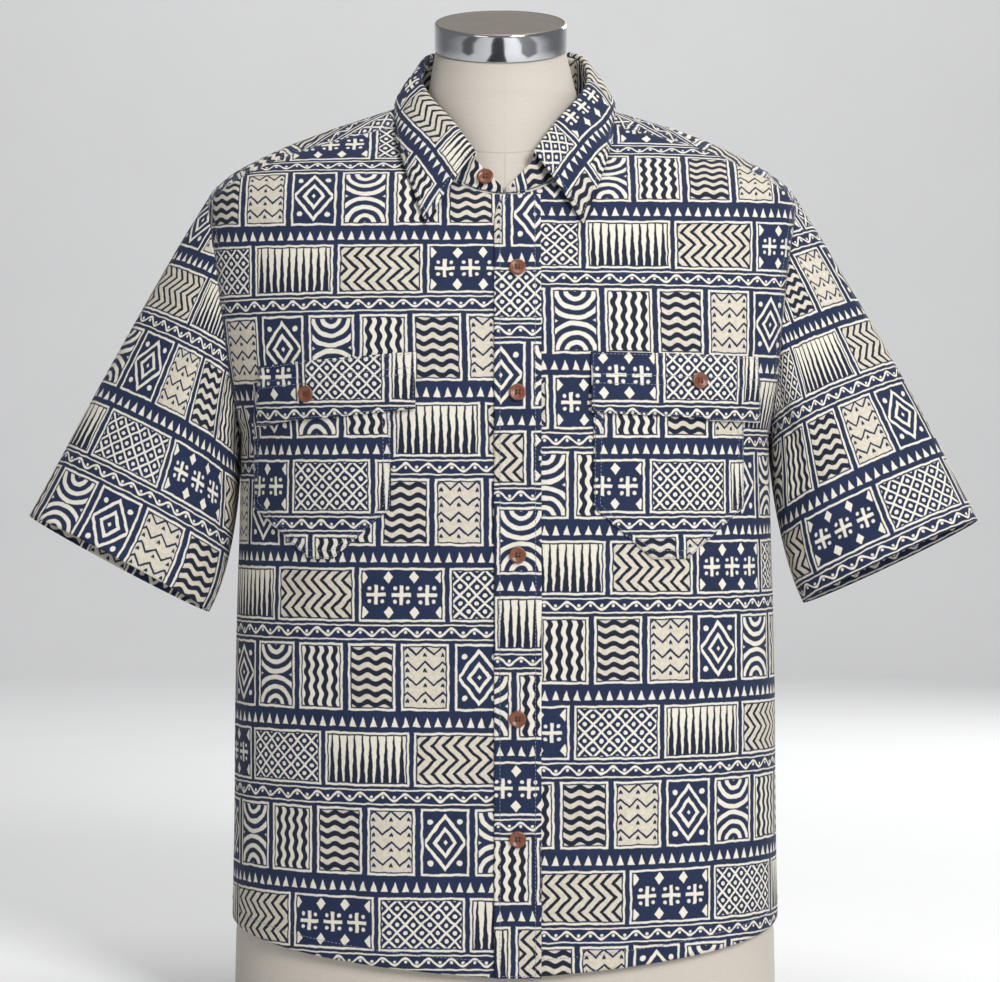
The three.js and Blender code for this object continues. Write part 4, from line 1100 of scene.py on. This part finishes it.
FORM_NECK = [
    (690, 60, 86, 60), (716, 62, 84, 56), (750, 64, 77, 50), (781, 66, 69, 46), (806, 68, 62, 45),
    (826, 66, 59, 46), (842, 61, 57, 50),
]
CAP = {"radius": 59.5, "height": 25, "tilt": 0.35, "top_y": -6, "top_z": 881}
CAP_PROFILE = [
    (0, 0), (30, 0), (58.7, 0), (59.3, 0.2), (59.5, 0.8), (59.5, 8), (59.5, 16), (59.5, 22), (59.35, 23.2),
    (58.8, 24.3), (57.9, 24.85), (57, 25), (56.6, 24.9), (56.2, 24.6), (55.6, 24.6),
    (40, 24.6), (20, 24.6), (0, 24.6),
]


def radial(angle, a, b, power):
    return ((np.abs(np.cos(angle)) / a) ** power + (np.abs(np.sin(angle)) / b) ** power) ** (-1 / power)


def form_ring(z, angle):
    shoulder = min(1.0, max(0.0, (z - 690) / 60))
    inset = lerp(8, 13, shoulder)
    side_inset = lerp(2.5, 6, min(1.0, max(0.0, (z - 74) / 16))) if z < 90 else lerp(6, 25, shoulder)
    y0 = float(side_y(z))
    ahead = np.sin(angle) < 0
    depth = np.maximum(4, np.where(ahead, front(z) + y0, back(z) - y0) - inset)
    reach = radial(angle, max(4.0, float(half(z)) - side_inset), depth, SQUARENESS)
    if z > FORM_NECK[0][0]:
        neck_depth = np.where(ahead, table_curve(FORM_NECK, 2)(z) + y0, table_curve(FORM_NECK, 3)(z) - y0)
        neck = radial(angle, float(table_curve(FORM_NECK, 1)(z)), neck_depth, 2)
        fade = min(1.0, max(0.0, (802 - z) / 17))
        reach = ((reach * fade) ** 9 + neck ** 9) ** (1 / 9)
    ring = [float(centre(z)) + reach * np.cos(angle), y0 + reach * np.sin(angle), np.full_like(angle, z)]
    return np.stack(ring, axis=-1)


def tilted_ring(middle, radius, angle):
    forward = np.array([0, math.cos(CAP["tilt"]), math.sin(CAP["tilt"])])
    across = np.array([1, 0, 0])
    return middle + radius * np.sin(angle)[:, None] * forward + radius * np.cos(angle)[:, None] * across


def cap_axis():
    normal = np.array([0, -math.sin(CAP["tilt"]), math.cos(CAP["tilt"])])
    top = np.array([NECK_X - 3.5, CAP["top_y"], CAP["top_z"]])
    return top - normal * CAP["height"], normal


def form_grid():
    angle = 2 * math.pi * shares(160) - math.pi / 2
    heights = np.concatenate([np.arange(0, 690, 10), np.arange(690, 815, 2.5), [815]])
    rings = [form_ring(float(z), angle) for z in heights]
    base, normal = cap_axis()
    end = tilted_ring(base - normal * 0.5, CAP["radius"] - 1, angle)
    rings += [lerp(rings[-1], end, k) for k in shares(14)[1:]]
    return np.array(rings)


def closed_ends(obj):
    """Fills the two open ends of a tube."""
    bm = bmesh.new()
    bm.from_mesh(obj.data)
    rims = [edge for edge in bm.edges if edge.is_boundary]
    bmesh.ops.holes_fill(bm, edges=rims, sides=0)
    bmesh.ops.recalc_face_normals(bm, faces=bm.faces)
    bm.to_mesh(obj.data)
    bm.free()
    return obj


# ---- Buttons ----
BUTTONS = {
    "front": [650, 543, 406, 267, 165],
    "pocket": {"left": (-163, 543), "right": (168, 554)},
}
# Radius and height, in millimetres: 7.2 mm in radius and 2.6 mm thick
BUTTON_PROFILE = [
    (0, 0.0), (3.0, 0.0), (6.2, 0.15), (6.9, 0.7), (7.2, 1.4), (7.05, 2.05), (6.6, 2.5), (6.0, 2.6),
    (5.2, 2.45), (4.6, 2.05), (4.2, 1.85), (2.0, 1.8), (0, 1.8),
]
HOLE_AWAY = 1.25
HOLE_PLACES = [(x * HOLE_AWAY, y * HOLE_AWAY) for x, y in ((1, 1), (-1, 1), (-1, -1), (1, -1))]


def lathe(profile, count):
    """A closed body of revolution about the upright axis, from (radius, height) rows."""
    bm = bmesh.new()
    line = [bm.verts.new((r, 0, h)) for r, h in profile]
    for a, b in zip(line, line[1:]):
        bm.edges.new((a, b))
    bmesh.ops.spin(bm, geom=bm.verts[:] + bm.edges[:], cent=(0, 0, 0), axis=(0, 0, 1),
                   angle=2 * math.pi, steps=count, use_duplicate=False)
    bmesh.ops.remove_doubles(bm, verts=bm.verts, dist=1e-4)
    bmesh.ops.recalc_face_normals(bm, faces=bm.faces)
    for face in bm.faces:
        face.smooth = True
    return bm


def drilled_button():
    """The button's mesh in millimetres, with its four holes cut through."""
    disc = finished("button_blank", lathe(BUTTON_PROFILE, 40))
    bm = bmesh.new()
    for x, y in HOLE_PLACES:
        bmesh.ops.create_cone(bm, cap_ends=True, segments=14, radius1=0.75, radius2=0.75, depth=8,
                              matrix=Matrix.Translation((x, y, 1)))
    drill = finished("button_drill", bm)
    cut = disc.modifiers.new("Holes", "BOOLEAN")
    cut.object = drill
    cut.operation = "DIFFERENCE"
    cut.solver = "EXACT"
    bpy.context.view_layer.update()
    mesh = bpy.data.meshes.new_from_object(disc.evaluated_get(bpy.context.evaluated_depsgraph_get()))
    for obj in (disc, drill):
        bpy.data.objects.remove(obj, do_unlink=True)
    return mesh


def placed_on(point, normal):
    """Matrix that sets a piece at a place, its own +Z along the normal and its +Y upright."""
    z = Vector(normal).normalized()
    x = Vector((0, 0, 1)).cross(z).normalized()
    y = z.cross(x)
    turn = Matrix((x, y, z)).transposed().to_4x4()
    return Matrix.Scale(MM, 4) @ Matrix.Translation(Vector(point)) @ turn


def thread_place(place, spot, way, facing):
    """A length of thread on a button: its middle, its direction and its facing, from those on the button."""
    turn = place.to_3x3().normalized()
    return np.array(place @ Vector(spot)) / MM, np.array(turn @ Vector(way)), np.array(turn @ Vector(facing))


def button_seats():
    """Name, place and facing of every button, at the height of its underside."""
    seats = []
    spots = [(f"button_front_{i + 1}", PLACKET_X, z, 3.3) for i, z in enumerate(BUTTONS["front"])]
    spots += [(f"button_pocket_{name}", x, z, 6.4) for name, (x, z) in BUTTONS["pocket"].items()]
    for name, x, z, lift in spots:
        across = on_front(x + 6, z) - on_front(x - 6, z)
        up = on_front(x, z + 6) - on_front(x, z - 6)
        normal = np.cross(across, up)
        normal = normal / np.linalg.norm(normal)
        seats.append((name, on_front(x, z) + normal * lift, normal))
    base, top, _, out = collar_frames(np.array([-0.93]))
    seats.append(("button_collar", lerp(base[0], top[0], 0.72) + out[0] * 2.0, out[0]))
    return seats


# ---- What the panel shows ----
SIZES = {
    "cloth": ("Cloth", "Thickness of the cotton", 0.0012),
    "stitch_length": ("Stitch length", "Length of one stitch that shows", 0.0025),
    "stitch_pitch": ("Stitch pitch", "Distance from one stitch to the next", 0.0034),
    "thread": ("Thread", "Radius of the sewing thread", 0.00036),
    "camera_distance": ("Camera distance", "From the form's axis to the camera", 2.6),
    "camera_height": ("Camera height", "Height of the level camera", 0.46),
}
COLOURS = {
    "navy": ("Navy", "Ground colour of the print", (12, 19, 37)),
    "washed_navy": ("Washed navy", "Lighter patches of the ground", (30, 46, 82)),
    "cream": ("Cream", "Light colour of the print", (233, 227, 211)),
    "tan": ("Tan", "Second light colour of the print", (190, 178, 156)),
    "sewing": ("Sewing thread", "Colour of the sewing thread", (126, 134, 156)),
    "button_thread": ("Button thread", "Colour of the thread that holds the buttons", (58, 34, 28)),
    "linen": ("Linen", "Colour of the form's cover", (205, 197, 186)),
    "steel": ("Steel", "Colour of the neck cap", (206, 208, 212)),
    "coconut": ("Coconut", "Colour of the buttons", (112, 62, 38)),
    "floor": ("Floor", "Colour of the floor and backdrop", (236, 236, 236)),
}


def panel_properties():
    """The properties of the panel, from the two tables and the camera's lens."""
    made = {}
    for key, (label, about, value) in SIZES.items():
        made[key] = bpy.props.FloatProperty(name=label, description=about, default=value, unit="LENGTH")
    for key, (label, about, value) in COLOURS.items():
        made[key] = bpy.props.FloatVectorProperty(
            name=label, description=about, default=rgb(*value), size=4, subtype="COLOR")
    about = "Focal length in millimetres"
    made["lens"] = bpy.props.FloatProperty(name="Lens", description=about, default=104.0)
    return made


class ShirtSettings(bpy.types.PropertyGroup):
    __annotations__ = panel_properties()


def settings():
    return bpy.context.scene.shirt_settings


def stitch_sizes():
    s = settings()
    return {"length": s.stitch_length / MM, "pitch": s.stitch_pitch / MM, "radius": s.thread / MM}


def shared_groups():
    groups = bpy.data.node_groups
    return {
        "print": groups.get("Patchwork print") or patchwork_group(),
        "weave": groups.get("Plain weave") or weave_group(),
    }


def cotton(name, shift):
    s = settings()
    colours = {key: tuple(getattr(s, key)) for key in ("navy", "washed_navy", "cream", "tan")}
    return printed_cotton(name, shift, shared_groups(), colours)


def thread_material():
    return bpy.data.materials.get("Sewing thread") or cotton_thread("Sewing thread", tuple(settings().sewing))


def cloth_piece(name, points, flat, outward, node, shift, ring=False):
    if not np.isfinite(points).all():
        raise RuntimeError(f"{name}: a point of the cloth has no place")
    obj = grid_mesh(name, points, outward, flat, ring)
    obj.data.materials.append(cotton(f"Printed cotton, {name}", shift))
    thicken(obj, settings().cloth / MM)
    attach(obj, "root")
    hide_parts(node)
    return obj


def outer(points, outward, ring=False):
    """The cloth's outside, and its normals there."""
    normals = grid_normals(points, ring) * outward
    return points + normals * (settings().cloth / MM + 0.1), normals


def run(points, normals, edge, distance, trim=(1.5, 1.5), part=slice(None)):
    """The stitches along an edge, or along one part of it."""
    line, lean = inset_line(points, normals, edge, distance)
    return stitch_places(line[part], lean[part], stitch_sizes()["pitch"], trim)


# ---- Operators, one for each piece or group ----
class SHIRT_OT_form(bpy.types.Operator):
    """Makes the linen dress form and its steel neck cap"""
    bl_idname = "shirt.form"
    bl_label = "Dress form"

    def execute(self, context):
        s = settings()
        grid = form_grid()
        girth = arc_lengths(grid[40])
        flat = np.stack(np.broadcast_arrays(girth[None], grid[..., 2]), axis=-1)
        form = closed_ends(grid_mesh("Dress_form", grid, away_from(NECK_X, 0), flat, ring=True))
        form.data.materials.append(linen_cover("Linen cover", tuple(s.linen), shared_groups()))
        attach(form, "root")
        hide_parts("dress_form")
        base = cap_axis()[0]
        bm = lathe(CAP_PROFILE, 96)
        for face in bm.faces:
            face.material_index = 1 if face.calc_center_median().z > 24.5 else 0
        lean = Matrix.Rotation(CAP["tilt"], 4, "X")
        place = Matrix.Scale(MM, 4) @ Matrix.Translation(Vector(base)) @ lean
        bmesh.ops.transform(bm, matrix=place, verts=bm.verts)
        cap = finished("Neck_cap", bm)
        cap.data.materials.append(polished_steel("Polished steel", tuple(s.steel), 0.12))
        cap.data.materials.append(polished_steel("Turned steel", rgb(150, 140, 130), 0.42, turned=True))
        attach(cap, "root")
        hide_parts("neck_cap")
        return {"FINISHED"}


class SHIRT_OT_body(bpy.types.Operator):
    """Makes the two fronts, the back and the yoke"""
    bl_idname = "shirt.body"
    bl_label = "Fronts, back and yoke"

    def execute(self, context):
        axis = away_from(NECK_X, 0)
        fronts = (
            ("Front_button_side", -1, "front_button_side", (11, 9)),
            ("Front_buttonhole_side", 1, "front_buttonhole_side", (31, -14)),
        )
        for name, side, node, shift in fronts:
            grid = front_grid(side)
            cloth_piece(name, grid, body_flat(grid, 1), axis, node, shift)
        grid = back_grid()
        cloth_piece("Back", grid, body_flat(grid, -1), axis, "back", (7, 22))
        grid = yoke_grid()
        cloth_piece("Yoke", grid, grid_flat(grid), away_from(0, 0, 0), "yoke", (3, 40))
        return {"FINISHED"}


class SHIRT_OT_placket(bpy.types.Operator):
    """Makes the placket that carries the buttonholes"""
    bl_idname = "shirt.placket"
    bl_label = "Placket"

    def execute(self, context):
        grid = placket_grid()
        flat = np.stack([grid[..., 0], grid[..., 2]], axis=-1)
        cloth_piece("Placket", grid, flat, away_from(0, 0), "placket", (46, 33))
        return {"FINISHED"}


class SHIRT_OT_sleeves(bpy.types.Operator):
    """Makes the two short sleeves"""
    bl_idname = "shirt.sleeves"
    bl_label = "Sleeves"

    def execute(self, context):
        for (name, shape), shift in zip(SLEEVES.items(), ((23, 8), (0, 61))):
            grid = sleeve_grid(shape)
            middle = grid.mean(axis=1)
            line = [(p[0], p[1], p[2]) for p in middle]

            def outward(point, line=line):
                near = min(line, key=lambda p: (Vector(p) * MM - point).length)
                return point - Vector(near) * MM
            cloth_piece(f"Sleeve_{name}", grid, sleeve_flat(grid), outward, f"sleeve_{name}", shift,
                        ring=True)
        return {"FINISHED"}


class SHIRT_OT_collar(bpy.types.Operator):
    """Makes the collar's stand and leaf"""
    bl_idname = "shirt.collar"
    bl_label = "Collar"

    def execute(self, context):
        axis = away_from(NECK_X, -8)
        grid = stand_grid()
        cloth_piece("Collar_stand", grid, grid_flat(grid), axis, "collar_stand", (5, 2))
        grid = leaf_grid()
        cloth_piece("Collar_leaf", grid, grid_flat(grid), axis, "collar_leaf", (19, 88))
        return {"FINISHED"}


class SHIRT_OT_pockets(bpy.types.Operator):
    """Makes the chest pockets and their flaps"""
    bl_idname = "shirt.pockets"
    bl_label = "Pockets and flaps"

    def execute(self, context):
        axis = away_from(NECK_X, 60)
        for name in ("left", "right"):
            grid = pocket_grid(POCKETS[name])
            flat = body_flat(grid, 1)
            cloth_piece(f"Pocket_{name}", grid, flat, axis, f"pocket_{name}", (27, 57))
            grid = flap_grid(FLAPS[name])
            flat = body_flat(grid, 1)
            cloth_piece(f"Pocket_flap_{name}", grid, flat, axis, f"pocket_flap_{name}", (14, -37))
        return {"FINISHED"}


class SHIRT_OT_sewing(bpy.types.Operator):
    """Sews the hems, the placket, the collar, the pockets, the cuffs and the yoke's seams"""
    bl_idname = "shirt.sewing"
    bl_label = "Stitching"

    def execute(self, context):
        stitch, material = stitch_sizes(), thread_material()
        fronts = [outer(front_grid(side), side) for side in FRONT_EDGES]
        back, yoke = outer(back_grid(), -1), outer(yoke_grid(), -1)
        rows = []
        for cloth in fronts:
            rows += run(*cloth, "bottom", SEWING["hem"], (26, 2))
        rows += run(*back, "bottom", SEWING["hem"])
        sewn("Hem_stitching", rows, stitch, material)

        rows = []
        seams = [(cloth, "right", slice(SIDE_STEPS["front"] + 1, None)) for cloth in fronts]
        seams += [(back, edge, slice(SIDE_STEPS["back"] + 1, None)) for edge in ("left", "right")]
        for cloth, edge, part in seams:
            for distance in SEWING["armhole"]:
                rows += run(*cloth, edge, distance, (6, 1.5), part)
        for edge in ("left", "right"):
            for distance in SEWING["armhole"]:
                rows += run(*yoke, edge, distance)
        sewn("Armhole_stitching", rows, stitch, material)

        rows = []
        seam, neck = YOKE_STEPS["seam"], YOKE_STEPS["neck"]
        for distance in SEWING["yoke"]:
            rows += run(*yoke, "bottom", distance)
            for part in (slice(0, seam + 1), slice(seam + neck, None)):
                rows += run(*yoke, "top", distance, (1.5, 3), part)
        sewn("Yoke_stitching", rows, stitch, material)

        band = outer(placket_grid(), 1)
        rows = run(*band, "left", SEWING["placket"]) + run(*band, "right", SEWING["placket"])
        rows += run(*band, "bottom", 2, (6, 6))
        sewn("Placket_stitching", rows, stitch, material)

        rows = []
        for shape in SLEEVES.values():
            rows += run(*outer(sleeve_grid(shape), shape[0], ring=True), "top", SEWING["cuff"], (0, 0))
        sewn("Cuff_stitching", rows, stitch, material)

        stand, leaf = outer(stand_grid(), -1), outer(leaf_grid(), 1)
        rows = run(*stand, "top", 2.2, (50, 50)) + run(*stand, "left", 2.5)
        rows += run(*stand, "right", 2.5) + run(*stand, "bottom", 3.4, (3, 3))
        for edge in ("left", "right", "top"):
            rows += run(*leaf, edge, SEWING["leaf"], (5, 5))
        sewn("Collar_stitching", rows, stitch, material)

        rows = []
        for name, side in (("left", -1), ("right", 1)):
            pocket, flap = outer(pocket_grid(POCKETS[name]), side), outer(flap_grid(FLAPS[name]), side)
            for edge in ("left", "right", "bottom"):
                for distance in SEWING["pocket"]:
                    rows += run(*pocket, edge, distance, (distance, distance))
            for edge in ("left", "right", "bottom"):
                rows += run(*flap, edge, SEWING["flap"], (SEWING["flap"], SEWING["flap"]))
            for distance in SEWING["flap_top"][name]:
                rows += run(*flap, "top", distance, (2, 2))
            rows += run(*flap, "top", SEWING["flap"])
        sewn("Pocket_stitching", rows, stitch, material)
        return {"FINISHED"}


class SHIRT_OT_buttons(bpy.types.Operator):
    """Sets the coconut buttons and the thread that holds them"""
    bl_idname = "shirt.buttons"
    bl_label = "Buttons"

    def execute(self, context):
        blank = drilled_button()
        material = coconut_shell("Coconut shell", tuple(settings().coconut))
        places = []
        for name, point, normal in button_seats():
            place = placed_on(point, normal)
            mesh = blank.copy()
            mesh.transform(place)
            mesh.materials.append(material)
            obj = bpy.data.objects.new(name.capitalize(), mesh)
            bpy.context.collection.objects.link(obj)
            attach(obj, "root")
            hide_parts(name)
            for x in (-HOLE_AWAY, HOLE_AWAY):
                for lift in (0, 0.35):
                    spot = (x + lift * 0.6, 0, 2.0 + lift * 0.4)
                    places.append(thread_place(place, spot, (0, 1, 0), (0, 0, 1)))
            for x, y in HOLE_PLACES:
                places.append(thread_place(place, (x, y, 0.2), (0, 0, 1), (0, 1, 0)))
        bpy.data.meshes.remove(blank)
        sewn("Button_thread", places, {"length": 3.4, "radius": 0.42},
             cotton_thread("Button thread", tuple(settings().button_thread)))
        return {"FINISHED"}


def reflector(name, left, right, colour):
    """A card on the floor in front of the form that shows only in reflections, as in the steel's."""
    bm = bmesh.new()
    bmesh.ops.create_grid(bm, x_segments=1, y_segments=1, size=1)
    for vert in bm.verts:
        x, y = (vert.co.x + 1) / 2, (vert.co.y + 1) / 2
        vert.co = (lerp(left, right, x), lerp(CARD_NEAR, CARD_FAR, y), CARD_Z)
    obj = finished(name, bm)
    obj.data.materials.append(matt_card(name, (*colour, 1.0), 0.9))
    obj.visible_camera = False
    obj.visible_diffuse = False
    obj.visible_shadow = False
    return obj


class SHIRT_OT_stage(bpy.types.Operator):
    """Sets the floor, the backdrop, the lamps and the camera"""
    bl_idname = "shirt.stage"
    bl_label = "Stage"

    def execute(self, context):
        s = settings()
        bend, radius = FLOOR["bend"], FLOOR["radius"]
        section = [(FLOOR["near"], 0.0), (bend, 0.0)]
        for a in shares(16)[1:] * math.pi / 2:
            section.append((bend + radius * math.sin(a), radius - radius * math.cos(a)))
        section.append((bend + radius, FLOOR["top"]))
        bm = bmesh.new()
        bmesh.ops.create_grid(bm, x_segments=1, y_segments=len(section) - 1, size=1)
        for vert in bm.verts:
            y, z = section[round((vert.co.y + 1) / 2 * (len(section) - 1))]
            vert.co = (vert.co.x * FLOOR["half_width"], y, z - GAP)
        for face in bm.faces:
            face.smooth = True
        floor = finished("Floor", bm)
        floor.data.materials.append(matt_card("Backdrop paper", tuple(s.floor), 0.96))
        for name, place, aim, size, power in LAMPS:
            lamp = bpy.data.lights.new(name, "AREA")
            lamp.shape = "RECTANGLE"
            lamp.size, lamp.size_y = size
            lamp.energy = power
            obj = bpy.data.objects.new(name, lamp)
            obj.location = place
            obj.rotation_euler = (Vector(aim) - Vector(place)).to_track_quat("-Z", "Y").to_euler()
            obj.visible_camera = False
            bpy.context.collection.objects.link(obj)
        for name, left, right, colour in CARDS:
            reflector(name, left, right, colour)
        world = bpy.data.worlds.new("Studio")
        world.use_nodes = True
        set_inputs(world.node_tree.nodes["Background"], {"Color": rgb(*SKY), "Strength": SKY_STRENGTH})
        bpy.context.scene.world = world
        camera = bpy.data.cameras.new("Camera")
        camera.lens = s.lens
        camera.sensor_width = SENSOR
        view = bpy.data.objects.new("Camera", camera)
        view.location = (0, -s.camera_distance, s.camera_height)
        view.rotation_euler = (math.pi / 2, 0, 0)
        bpy.context.collection.objects.link(view)
        bpy.context.scene.camera = view
        bpy.context.scene.view_settings.view_transform = "Standard"
        return {"FINISHED"}


class SHIRT_PT_panel(bpy.types.Panel):
    bl_idname = "SHIRT_PT_panel"
    bl_label = "Hawaiian shirt"
    bl_space_type = "VIEW_3D"
    bl_region_type = "UI"
    bl_category = "Shirt"

    def draw(self, context):
        for name in ShirtSettings.__annotations__:
            self.layout.prop(context.scene.shirt_settings, name)
        for operator in OPERATORS:
            self.layout.operator(operator.bl_idname)


OPERATORS = (
    SHIRT_OT_form, SHIRT_OT_body, SHIRT_OT_placket, SHIRT_OT_sleeves, SHIRT_OT_collar,
    SHIRT_OT_pockets, SHIRT_OT_sewing, SHIRT_OT_buttons, SHIRT_OT_stage,
)
CLASSES = (ShirtSettings, *OPERATORS, SHIRT_PT_panel)


def register():
    for cls in CLASSES:
        bpy.utils.register_class(cls)
    bpy.types.Scene.shirt_settings = bpy.props.PointerProperty(type=ShirtSettings)


def unregister():
    del bpy.types.Scene.shirt_settings
    for cls in reversed(CLASSES):
        bpy.utils.unregister_class(cls)


def main():
    register()
    bpy.ops.shirt.form()
    bpy.ops.shirt.body()
    bpy.ops.shirt.placket()
    bpy.ops.shirt.sleeves()
    bpy.ops.shirt.collar()
    bpy.ops.shirt.pockets()
    bpy.ops.shirt.sewing()
    bpy.ops.shirt.buttons()
    bpy.ops.shirt.stage()


if __name__ == "__main__":
    main()
